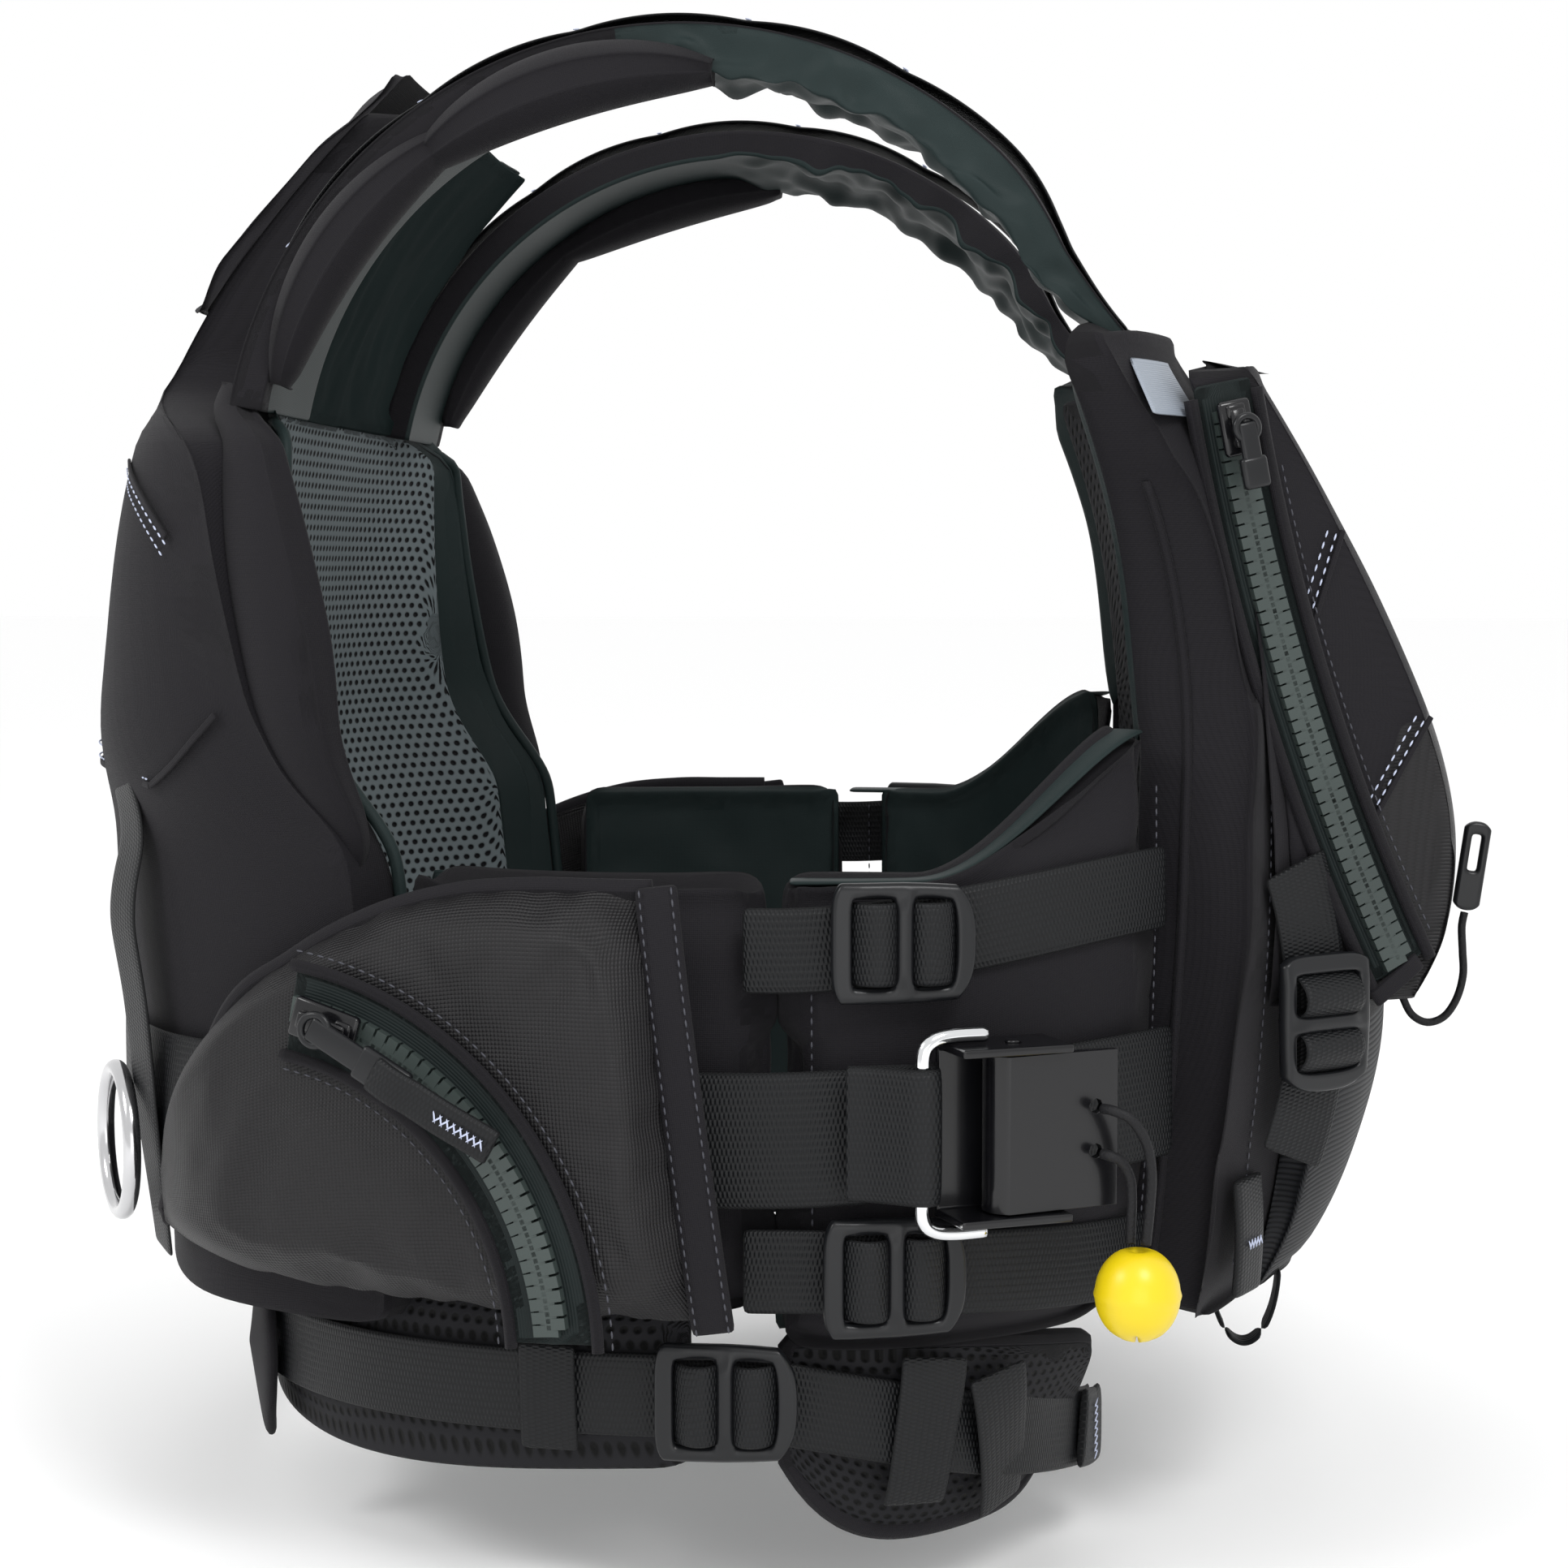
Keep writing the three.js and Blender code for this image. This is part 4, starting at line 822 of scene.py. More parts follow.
for side, word in SIDES:
    strip = edge_line(side, 0.118, 0.335, 0.0028, 0.006)
    webbing(f"back_liner_binding_{word}", strip, chest_out, 0.013, LINING, thick=0.0011)
    piece(f"back_liner_piping_{word}", tube_mesh(edge_line(side, 0.118, 0.335, 0.004, -0.001), 0.0022, 8), LINING)
line = [across(False, y, 0.121, 0.0005) for y in evenly(-0.138, 0.138, 40)]
webbing("back_liner_seam", line, [-chest_out(p) for p in line], 0.008, LINING, thick=0.001)
print("bindings ready")

# %% [markdown]
# ## Side wings
# The thin foam wings meet under the arm. Their sides against the body are lined, the outsides are softshell, and
# their tops are turned over with the lining. They are puffed, with their rims sewn down.

# %% Wings
def wing_place(side, start, end, bottom, top, inner, outer):
    def place(u, v, w):
        angle = lerp(start, end, u)
        height = lerp(bottom, top(angle), v)
        swell = (1 - (2 * v - 1) ** 6) * (1 - (2 * u - 1) ** 8)
        full = lerp(inner, outer, 0.62 + 0.38 * swell)
        base = around(side, angle, height)
        loose = (dent(base, 0.016, 0.0026, 2.2) + dent(base, 0.007, 0.0008, 6.1)) * swell
        return around(side, angle, height, full + dent(base, 0.03, 0.0012, 7.7) if w > 0.5 else inner + loose)
    return place


def wing_top(angle):
    return WING_TOP + 0.042 * smoothstep(72 - angle, 0, 25)


for side, word in SIDES:
    rear_mesh = slab_mesh(20, 24, wing_place(side, 121, 86.9, WING_BOTTOM, lambda a: WING_TOP, 0.003, 0.019), 0.004,
                          3)
    rear = piece(f"rear_side_wing_{word}", rear_mesh, [SHELL, LINING], stands_for=[f"rear_wing_{word}"])
    puff(rear, 3.0, 0.02, 0.0022)
    start = 85.0 if side < 0 else 79.0
    front_mesh = slab_mesh(24, 28, wing_place(side, start, 47.5, 0.066, wing_top, 0.003, 0.0185), 0.004, 3)
    front = piece(f"front_side_wing_{word}", front_mesh, [SHELL, LINING], stands_for=[f"front_wing_{word}"])
    puff(front, 3.0, 0.03, 0.0024)
    top = [around(side, a, wing_top(a) + 0.0005, 0.0085) for a in evenly(84.5, 48, 30)]
    webbing(f"wing_top_lining_{word}", top, (0, 0, 1), 0.0125, LINING, thick=0.0016)
print("wings ready")

# %% [markdown]
# ## Armhole rolls and shoulders
# A soft roll follows the back edge of each armhole: a long lens that is fattest halfway up. It stands off the slab's
# edge, like the real one, and its lining shows as a pale piping towards the wearer.

# %% Armhole rolls
def roll_place(side):
    def place(u, v, w):
        height = lerp(0.193, 0.345, u)
        full = math.sin(math.pi * (0.012 + 0.93 * u)) ** 0.7
        base = across(False, side * back_half_at(min(height, 0.335)), height)
        normal = plan_normal(base.x, base.y, height)
        aside = Vector((-normal.y, normal.x, 0))
        aside = aside if aside.y * side > 0 else -aside
        reach = -0.006 + v * (0.006 + 0.0225 * full) - 0.010 * (1 - full) * (u < 0.5)
        thick = 0.024 * (0.12 + 0.88 * full) * math.sqrt(max(1 - (0.9 * (2 * v - 1)) ** 2, 0.05))
        return base + aside * reach + normal * (0.0165 + (w - 0.5) * thick)
    return place


for side, word in SIDES:
    roll = piece(f"armhole_pad_{word}", slab_mesh(26, 8, roll_place(side), 0.002, 2), [SHELL, SHELL],
                 stands_for=[f"armhole_roll_{word}"])
    puff(roll, 3.0, 0.02, 0.003, pinned=lambda co: False)
print("armhole rolls ready")

# %% [markdown]
# The shoulder strap is an arch of thin foam: softshell above, and thin nylon below that is cut too long and so lies
# in wrinkles. On its rear half the armhole edge is a fat roll in two overlapping lengths; on the front half the
# lining comes up over the edge. The arch is drawn about one centre, with a turn of 0 to the front and 90 at the top.

# %% Shoulder arches
PAD_CENTRE = Vector((-0.020, 0, HEM + 0.3116))
PAD_RADIUS = 0.128
ARCH_INNER_EDGE, ARCH_OUTER_EDGE, ARCH_STRAP = 0.078, 0.139, 0.1065
ARCH_TURNED = 0.66


def on_arch(side, turn, radius, y):
    c, s = math.cos(math.radians(turn)), math.sin(math.radians(turn))
    return PAD_CENTRE + Vector((radius * c, side * y, radius * s))


def arch_out(turn):
    return Vector((math.cos(math.radians(turn)), 0, math.sin(math.radians(turn))))


ARCH_FRONT, ARCH_REAR = 32, 169
TAIL = 0.036
ARCH_LENGTH = math.radians(ARCH_REAR - ARCH_FRONT) * PAD_RADIUS + TAIL
TAIL_WAY = Vector((0.68, 0, -0.733))


def arch_frame(along):
    """Place, outward direction and turn at a length along the strap, from its front end up and over to the back."""
    if along < TAIL:
        share = (TAIL - along) / TAIL
        out = arch_out(ARCH_FRONT).lerp(Vector((0.733, 0, 0.68)), min(share * 2, 1)).normalized()
        return on_arch(0, ARCH_FRONT, PAD_RADIUS, 0) + TAIL_WAY * (TAIL - along), out, ARCH_FRONT
    turn = ARCH_FRONT + math.degrees((along - TAIL) / PAD_RADIUS)
    return on_arch(0, turn, PAD_RADIUS, 0), arch_out(turn), turn


def arch_place(side):
    def place(u, v, w):
        spot, out, turn = arch_frame(u * ARCH_LENGTH)
        front_part = 1 - smoothstep(turn, 84, 98)
        end = smoothstep(u, 0.0, 0.12)
        crown = lerp(0.0125 * (1 - 0.2 * (2 * v - 1) ** 2), 0.0045, 1 - smoothstep(u, 0.0, 0.2))
        edge = ARCH_OUTER_EDGE - 0.014 * (1 - smoothstep(u, 0.0, 0.2))
        if w > 0.5:
            return spot + out * crown + Vector((0, side * lerp(ARCH_INNER_EDGE, edge, v), 0))
        turned = max(v - ARCH_TURNED, 0.0) / 0.34
        fold = wrinkle(u, v, 26, 6, 0.0052, side * 2.0) + wrinkle(u + v * 0.05, v, 60, 9, 0.0022, 4.0)
        fold *= front_part * end * (1 - turned ** 6)
        under = -0.0045 * front_part * smoothstep(v, 0.2, ARCH_TURNED) * end
        reach = lerp(under, crown - 0.0005, turned ** 1.5) + fold * (1 - 0.6 * turned)
        y = lerp(ARCH_INNER_EDGE, edge, min(v / ARCH_TURNED, 1.0)) + fold * (0.3 + 0.7 * turned)
        return spot + out * reach + Vector((0, side * y, 0))
    return place


def crescent_place(side, start, end, y_low, y_high, inner, outer):
    """A fat roll along the arch that tapers at both ends."""
    def place(u, v, w):
        turn = lerp(start, end, u)
        full = math.sin(math.pi * (0.02 + 0.96 * u)) ** 0.55
        middle, half = (inner + outer) / 2, (outer - inner) / 2 * (0.14 + 0.86 * full)
        round_off = math.sqrt(max(1 - (0.93 * (2 * v - 1)) ** 2, 0.04))
        y = lerp(y_low, y_high - (1 - full) * 0.016, v)
        return on_arch(side, turn, middle + (w * 2 - 1) * half * round_off, y)
    return place


def on_top_of_arch(co):
    """The cloth above is held, and only the lining below it can puff."""
    return math.hypot(co.z - PAD_CENTRE.z, co.x - PAD_CENTRE.x) > PAD_RADIUS + 0.009


for side, word in SIDES:
    arch = piece(f"shoulder_arch_{word}", slab_mesh(120, 24, arch_place(side), 0.0012, 1), [SHELL, LINING],
                 stands_for=[f"shoulder_pad_{word}"])
    for face in arch.data.polygons:
        turn = math.degrees(math.atan2(face.center.z - PAD_CENTRE.z, face.center.x - PAD_CENTRE.x))
        if turn > 97 and abs(face.center.y) > 0.132:
            face.material_index = 0
    puff(arch, 2.0, 0.06, 0.004, pinned=on_top_of_arch)
    for label, start, end, inner, outer in (("rear", 165, 121, 0.1155, 0.1345), ("top", 128, 85, 0.1135, 0.1350)):
        y_high = 0.151 + (0.0 if label == "rear" else 0.0025)
        roll_mesh = slab_mesh(28, 8, crescent_place(side, start, end, 0.128, y_high, inner, outer), 0.002, 2)
        roll = piece(f"shoulder_roll_{label}_{word}", roll_mesh, [SHELL, SHELL])
        puff(roll, 3.0, 0.015, 0.002, pinned=lambda co: False)
print("shoulders ready")

# %% [markdown]
# Wide webbing runs over each arch. It is tacked down at a few places and puffs up between them, which is what lets a
# karabiner be clipped under it.

# %% Shoulder webbing
TACK_TURNS = (36, 62, 82, 103, 124, 148)


def between_tacks(turn):
    for low, high in zip(TACK_TURNS, TACK_TURNS[1:]):
        if low <= turn <= high:
            return math.sin(math.pi * (turn - low) / (high - low)) ** 0.8
    return 0.0


for side, word in SIDES:
    line, outs = [], []
    for i in range(101):
        spot, out, turn = arch_frame(lerp(0.004, ARCH_LENGTH - 0.020, i / 100))
        crown = lerp(0.0045, 0.0130, smoothstep(i / 100, 0.0, 0.2))
        line.append(spot + out * (crown + 0.0010 + 0.0014 * between_tacks(turn)) + Vector((0, side * ARCH_STRAP, 0)))
        outs.append(out)
    webbing(f"shoulder_strap_{word}", line, outs, 0.034, WEB, stands_for=[f"shoulder_webbing_{word}"])
    tacks = []
    for t in TACK_TURNS[1:]:
        out = arch_out(t)
        start = on_arch(side, t, PAD_RADIUS + 0.0150, 0.0925)
        tacks += zigzag_spots(start, Vector((0, side, 0)), out, 0.028, 0.0011, 0.0012)
    grains(f"shoulder_tacks_{word}", tacks, PALE_THREAD, size=(0.003, 0.0006, 0.0006))
print("shoulder webbing ready")

# %% [markdown]
# ## Neck pouch, chest pocket and front pouch
# The neck pouch is a flap over the top of the back. The chest pocket is a deep bellows pocket whose flat right wall
# carries its long zip: smooth softshell above, coarse pack cloth in its lower third, divided by a slanting seam with
# a double row of pale thread. The pouch below it is stretch knit with ribs.

# %% Neck pouch
def neck_place(u, v, w):
    height = lerp(0.372, 0.448, v)
    y = (2 * u - 1) * (0.070 - 0.008 * v)
    thick = 0.011 * (1 - 0.45 * (2 * u - 1) ** 2) * (0.75 + 0.5 * v * (1 - v) * 4 * 0.5)
    return across(False, y, height, back_shell(180, height) + GAP + w * thick)


neck = piece("neck_flap_pouch", slab_mesh(24, 16, neck_place, 0.0025, 2), [SHELL, SHELL], stands_for=["neck_pouch"])
puff(neck, 2.0, 0.015, 0.002)

# %% Chest pocket
WALL_REAR = Vector((FRONT_DEPTH - 0.005, -0.127, 0))
WALL_FRONT = Vector((FRONT_DEPTH + 0.060, -0.102, 0))
WALL_FORWARD = (WALL_FRONT - WALL_REAR).normalized()
WALL_OUT = Vector((WALL_FORWARD.y, -WALL_FORWARD.x, 0))
POCKET_BOTTOM, POCKET_TOP = 0.157, 0.350
pocket_front = through([(0.157, 0.068), (0.177, 0.077), (0.211, 0.079), (0.248, 0.068), (0.31, 0.037),
                        (0.343, 0.017), (0.35, 0.012)])


def wall_y(x):
    return WALL_REAR.y + (x - WALL_REAR.x) * WALL_FORWARD.y / WALL_FORWARD.x


def pocket_base(height):
    """Where the pocket's wall meets the front shell, found in small steps from the middle outwards."""
    y = -0.060
    while True:
        point = across(True, y, height, front_shell(height) + 2.5 * GAP)
        if point.y <= wall_y(point.x):
            return point
        y -= 0.0005


def pocket_place(u, v, w):
    height = lerp(POCKET_BOTTOM, POCKET_TOP, v)
    share = 2 * u - 1
    base = pocket_base(height)
    if w < 0.5:
        if abs(share) > 0.9999:
            return Vector((base.x, share * -base.y, HEM + height))
        return across(True, share * -base.y * 0.96, height, front_shell(height) + 2.5 * GAP)
    front = FRONT_DEPTH + pocket_front(height)
    edge = max(front - 0.008, base.x + 0.004)
    bulge = (max(front, edge) - edge) * (1 - abs(share) ** 3)
    soft = dent(Vector((0.1, share * 0.1, height)), 0.04, 0.0012, 9.0) * (1 - abs(share) ** 4)
    return Vector((edge + bulge + soft, share * -wall_y(edge), HEM + height))


SEAM_SLOPE = 1.8


def pocket_seam(x):
    """Height of the slanting seam on the pocket's wall, rising towards the front."""
    return 0.205 + (x - 0.187) * SEAM_SLOPE


pocket_mesh = slab_mesh(34, 44, pocket_place, 0.003, 3)
bmesh.ops.bisect_plane(pocket_mesh, geom=pocket_mesh.verts[:] + pocket_mesh.edges[:] + pocket_mesh.faces[:],
                       dist=1e-6,
                       plane_co=(0.187, 0, HEM + pocket_seam(0.187)), plane_no=(-SEAM_SLOPE, 0, 1))
chest_pocket = piece("chest_bellows_pocket", pocket_mesh, [SHELL, SHELL, PACK_CLOTH], stands_for=["chest_pocket"])
for face in chest_pocket.data.polygons:
    if face.center.z - HEM < pocket_seam(face.center.x) and face.material_index != 1:
        face.material_index = 2
print("chest pocket ready")


# %% Lower front pouch
def pouch_place(u, v, w):
    height = lerp(0.064, 0.153, v)
    y = (2 * u - 1) * 0.084
    thick = (0.004 + 0.013 * math.sin(math.pi * (0.08 + 0.55 * v))) * (1 - 0.5 * (2 * u - 1) ** 4)
    return across(True, y, height, front_shell(height) + GAP + w * thick)


pouch = piece("front_stretch_pouch", slab_mesh(28, 14, pouch_place, 0.003, 2), [STRETCH, STRETCH],
              stands_for=["lower_front_pouch"])
puff(pouch, 2.0, 0.01, 0.002)

# %% [markdown]
# ## Local frames
# Straps, locks, zips and the buckle are easier to shape lying flat. Each is made with x forward along the cloth, y up
# it and z out of it, and one matrix then carries the finished mesh to its place on the vest.

# %% Frames on the vest
def frame_from(origin, forward, out):
    x = forward.normalized()
    z = (out - x * out.dot(x)).normalized()
    return Matrix.Translation(origin) @ Matrix((x, z.cross(x), z)).transposed().to_4x4()


def side_frame(side, angle, height, offset):
    origin = around(side, angle, height, offset)
    ahead = (around(side, angle - 1, height, offset) - origin).normalized()
    return frame_from(origin, ahead, plan_normal(origin.x, origin.y, height))


def placed(bm, matrix):
    bmesh.ops.transform(bm, matrix=matrix, verts=bm.verts)
    bmesh.ops.recalc_face_normals(bm, faces=bm.faces)
    return bm


def rounded_block(size, centre=(0, 0, 0), rim=0.0006, steps=2):
    """A box with its edges rolled over."""
    bm = bmesh.new()
    bmesh.ops.create_cube(bm, size=1.0)
    bmesh.ops.scale(bm, vec=size, verts=bm.verts)
    bmesh.ops.bevel(bm, geom=bm.edges[:], offset=rim, offset_type="OFFSET", segments=steps, profile=0.5,
                    affect="EDGES", material=-1)
    bmesh.ops.translate(bm, verts=bm.verts, vec=centre)
    return shade_smooth(bm)


def join(*parts):
    """Several bmeshes in one."""
    whole = bmesh.new()
    for part in parts:
        mesh = bpy.data.meshes.new("part")
        part.to_mesh(mesh)
        part.free()
        whole.from_mesh(mesh)
        bpy.data.meshes.remove(mesh)
    return whole


print("frames ready")

# %% [markdown]
# ## Belts and ladder locks
# A ladder lock is a moulded frame with a bar across its middle. The strap comes up through it, over the bar and back,
# so what shows in its two windows is bulging webbing. Its front end is a broad round thumb tab. The frame starts as a
# flat grid with two holes, is pulled into its outline, thickened and smoothed.

# %% Ladder locks
LOCK_LENGTH, LOCK_WIDTH, LOCK_THICK, LOCK_BAR = 0.042, 0.035, 0.005, 0.005


def lock_mesh():
    bm = bmesh.new()
    bmesh.ops.create_grid(bm, x_segments=28, y_segments=14, size=0.5)
    bmesh.ops.scale(bm, vec=(LOCK_LENGTH, LOCK_WIDTH, 1), verts=bm.verts)
    half_bar, side_bar = LOCK_BAR / 2, LOCK_WIDTH / 2 - LOCK_BAR
    holes = [f for f in bm.faces if abs(f.calc_center_median().y) < side_bar
             and half_bar < abs(f.calc_center_median().x) < LOCK_LENGTH / 2 - LOCK_BAR - 0.0005]
    bmesh.ops.delete(bm, geom=holes, context="FACES")
    for v in bm.verts:
        x, y = v.co.x, abs(v.co.y) / (LOCK_WIDTH / 2)
        if x > 0.008:
            v.co.x = 0.008 + (x - 0.008) * (1 - 0.42 * y ** 3)
        elif x < -0.012:
            v.co.x = -0.012 + (x + 0.012) * (1 - 0.3 * y ** 6)
        v.co.y *= 1 - 0.05 * max(x, 0) / 0.021
    top = verts_in(bmesh.ops.extrude_face_region(bm, geom=bm.faces[:])["geom"])
    bmesh.ops.translate(bm, verts=top, vec=(0, 0, LOCK_THICK))
    lifted = set(top)
    for v in bm.verts:
        x = v.co.x / (LOCK_LENGTH / 2)
        tail = max(0.0, x - 0.72) / 0.28
        if v in lifted:
            v.co.z -= 0.0022 * tail + 0.0012 * max(0.0, -x - 0.6) / 0.4
        v.co.z += 0.0016 * tail + (0.0012 if abs(x) < 0.14 and abs(v.co.y) < side_bar and v in lifted else 0)
    bmesh.ops.recalc_face_normals(bm, faces=bm.faces)
    return shade_smooth(bm)


def bent_webbing(name, route, way, steps, frame_matrix, width, body="vest"):
    """Webbing bent in the plane of its lock or buckle. route holds x and z, and way is 1 or -1 along x."""
    line = smooth_line([(way * x, 0, z) for x, z in route], steps)
    turned = frame_matrix.to_3x3()
    outs = [turned @ ((b - a).normalized().cross(Vector((0, 1, 0))) * -way)
            for a, b in zip(line, line[1:] + [line[-1] * 2 - line[-2]])]
    return webbing(name, [frame_matrix @ p for p in line], outs, width, WEB, body)


BAR_ROUTE = [(0.0175, -0.0004), (0.0150, 0.0016), (0.0120, 0.0058), (0.0085, 0.0078), (0.0050, 0.0072),
             (0.0030, 0.0048), (0.0026, 0.0010), (0.0042, -0.0002)]


LOCKS = (("upper", 74.5, lambda a: 0.180 + 0.014 * smoothstep(86 - a, 0, 40)),
         ("lower", 75.5, lambda a: 0.087 - 0.005 * smoothstep(86 - a, 0, 40)))
SIDE_WEBBING, BELT_WEBBING = 0.025, 0.040
waist_height = through([(45, 0.017), (63, 0.029), (80, 0.043), (91, 0.048), (150, 0.043)])
WAIST_OFFSET = 0.014 + GAP + 0.0005


def on_wall(side, along, off, height):
    """A point beside the chest pocket's wall: how far along it, how far off it, and the height."""
    point = WALL_REAR + WALL_FORWARD * along + WALL_OUT * off
    return Vector((point.x, -side * point.y, HEM + height))


def wall_facing(side):
    """The shoulder strap beside the pocket faces a little further forward than the wall does."""
    facing = Matrix.Rotation(math.radians(16), 3, "Z") @ WALL_OUT
    return Vector((facing.x, -side * facing.y, 0))


def add_lock(label, word, frame_matrix):
    body = f"lock_{label}_{word}"
    node = f"ladder_lock_{label}_{word}"
    piece(f"moulded_lock_{label}_{word}", placed(lock_mesh(), frame_matrix), PLASTIC, body, [node])
    for end, way in (("rear", -1), ("front", 1)):
        bent_webbing(f"lock_webbing_{label}_{word}_{end}", BAR_ROUTE, way, 18, frame_matrix, 0.0242, body)


for side, word in SIDES:
    for label, angle, height in LOCKS:
        add_lock(label, word, side_frame(side, angle, height(angle), WING_OUTER + 2 * GAP + WEBBING + 0.001))
        angles = evenly(88.8, 47.5, 44)
        line = [around(side, a, height(a), WING_OUTER + GAP + WEBBING / 2 + 0.0002) for a in angles]
        webbing(f"side_webbing_{label}_{word}", line, chest_out, SIDE_WEBBING,
                stands_for=[f"side_strap_{label}_{word}"])
    add_lock("waist", word, side_frame(side, 90.5, waist_height(90.5), WAIST_OFFSET + WEBBING + GAP + 0.001))
    add_lock("shoulder", word, frame_from(on_wall(side, 0.033, 0.0078, 0.152), Vector((0, 0, -1)), wall_facing(side)))
print("locks ready")

# %% [markdown]
# The harness belt is one wide loop of webbing that starts at the buckle's bar on the right, goes round the back and
# ends under the left edge of the front. The short front strap carries the buckle. The waist belt is narrower and
# slopes down towards the front.

# %% Belts
def belt_height(angle):
    return 0.126 + 0.007 * smoothstep(90 - angle, 0, 45)


def over_belt(angle):
    return under_belt(angle) + 1.5 * GAP


def belt_line(start, end, offset, height, steps):
    """Turns above 180 are on the left side."""
    line = []
    for i in range(steps + 1):
        turn = lerp(start, end, i / steps)
        side, angle = (-1, turn) if turn <= 180 else (1, 360 - turn)
        line.append(around(side, angle, height(angle), offset(angle)))
    return line


harness = belt_line(77.3, 311, lambda a: over_belt(a) + WEBBING / 2, belt_height, 150)
webbing("harness_webbing", harness, chest_out, BELT_WEBBING, stands_for=["harness_belt"])
front_strap = belt_line(73.8, 47.5, lambda a: over_belt(a) + WEBBING / 2, belt_height, 24)
webbing("harness_front_webbing", front_strap, chest_out, BELT_WEBBING,
        stands_for=["harness_front_strap"])
for side, word in SIDES:
    line = [around(side, a, waist_height(a), WAIST_OFFSET + WEBBING / 2) for a in evenly(150, 43, 90)]
    webbing(f"waist_webbing_{word}", line, chest_out, SIDE_WEBBING, stands_for=[f"waist_belt_{word}"])
print("belts ready")

# %% [markdown]
# ## The quick-release buckle
# The metal buckle is a folded channel in glossy black with a cam lever on a pin: pull the ball and the lever swings,
# lets the webbing go and the belt opens. The fixed solids already have its true shape, so a cleaned copy of each gets
# its edges rounded. The wire bar that holds the webbing loop is drawn again as a smooth bent wire.

# %% Buckle
def softened(node, name, material, body, rim, angle=25, steps=2):
    """A copy of a fixed solid with flat faces made whole and its edges rounded."""
    bm = bmesh.new()
    bm.from_mesh(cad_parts[node].data)
    bmesh.ops.remove_doubles(bm, verts=bm.verts, dist=1e-5)
    bmesh.ops.dissolve_limit(bm, angle_limit=math.radians(2), verts=bm.verts, edges=bm.edges)
    sharp = [e for e in bm.edges if len(e.link_faces) == 2 and e.calc_face_angle() > math.radians(angle)]
    bmesh.ops.bevel(bm, geom=sharp, offset=rim, offset_type="OFFSET", segments=steps, profile=0.5, affect="EDGES",
                    material=-1, clamp_overlap=True)
    thing = piece(name, shade_smooth(bm), material, body, [node], smooth=0)
    tidy = thing.modifiers.new("even_normals", "WEIGHTED_NORMAL")
    tidy.keep_sharp = True
    return thing


BUCKLE_ANGLE = 66.8
BAR_WIRE = 0.0022
BUCKLE = side_frame(-1, BUCKLE_ANGLE, belt_height(BUCKLE_ANGLE), over_belt(BUCKLE_ANGLE) + WEBBING + 1.8 * GAP)
softened("buckle_frame", "buckle_channel", GLOSS, "vest", 0.0007)
softened("buckle_lever", "buckle_cam_lever", GLOSS, "lever", 0.0006)
softened("buckle_pin", "buckle_rivet", GLOSS, "vest", 0.0005)
bar_reach = 0.0255 + BAR_WIRE + 0.0005
bar_route = [(-0.008, bar_reach), (-0.018, bar_reach), (-0.024, bar_reach - 0.0012), (-0.027, bar_reach - 0.005),
             (-0.027, 0.012),
             (-0.027, -0.012), (-0.027, 0.005 - bar_reach), (-0.024, 0.0012 - bar_reach), (-0.018, -bar_reach),
             (-0.008, -bar_reach)]
bar_line = [BUCKLE @ p for p in smooth_line([(x, y, 0.009) for x, y in bar_route], 70)]
piece("buckle_wire_bar", tube_mesh(bar_line, BAR_WIRE, 12), CHROME, "vest", ["buckle_bar"], smooth=0)

loop_route = [(-0.046, -0.0022), (-0.040, 0.0010), (-0.034, 0.0068), (-0.0300, 0.0110), (-0.0262, 0.0125),
              (-0.0228, 0.0108),
              (-0.0222, 0.0072), (-0.0250, 0.0040), (-0.031, 0.0016), (-0.040, -0.0006)]
bent_webbing("buckle_webbing_loop", loop_route, 1, 40, BUCKLE, 0.0395)
print("buckle ready")

# %% [markdown]
# The toggle is a moulded ball, a little taller than wide, with a parting line round its middle and six notches in its
# lower end. A profile is spun about the ball's own axis; the notches are pushed in afterwards.

# %% Toggle ball
BALL_WIDTH, BALL_TALL = 0.0245, 0.027


def ball_mesh():
    bm = bmesh.new()
    rows = 28
    rim = []
    for i in range(rows + 1):
        turn = math.pi * i / rows
        radius = BALL_WIDTH / 2 * math.sin(turn) ** 0.92
        seam = 0.00035 * math.exp(-((turn - math.pi / 2) / 0.035) ** 2)
        spot = Vector((max(radius + seam, 0.0), BALL_TALL / 2 * math.cos(turn), 0))
        if i == 0:
            spot.y -= 0.0006
        rim.append(bm.verts.new(spot))
    for a, b in zip(rim, rim[1:]):
        bm.edges.new((a, b))
    bmesh.ops.spin(bm, geom=bm.verts[:] + bm.edges[:], cent=(0, 0, 0), axis=(0, 1, 0), angle=2 * math.pi, steps=48,
                   use_merge=True)
    bmesh.ops.remove_doubles(bm, verts=bm.verts, dist=2e-5)
    for v in bm.verts:
        around_axis = math.atan2(v.co.z, v.co.x)
        low = smoothstep(-v.co.y, BALL_TALL * 0.36, BALL_TALL * 0.47)
        notch = max(0.0, math.cos(6 * around_axis)) ** 3
        v.co.y += 0.0026 * low * notch
        dimple = math.exp(-(math.hypot(v.co.x, v.co.z) / 0.0026) ** 2) * (v.co.y > 0)
        v.co.y -= 0.0018 * dimple
    return shade_smooth(bm)


HOLE_X, PLATE_Z = 0.024, 0.0115 + 0.0085 * 0.62
BALL_CENTRE = (HOLE_X + 0.0096, -0.0335 - BALL_TALL / 2, PLATE_Z + 0.0062)
ball = piece("pull_toggle", placed(ball_mesh(), BUCKLE @ Matrix.Translation(BALL_CENTRE)), YELLOW, "lever",
             ["toggle_ball"], smooth=0)
print("toggle:", len(ball.data.polygons), "faces")

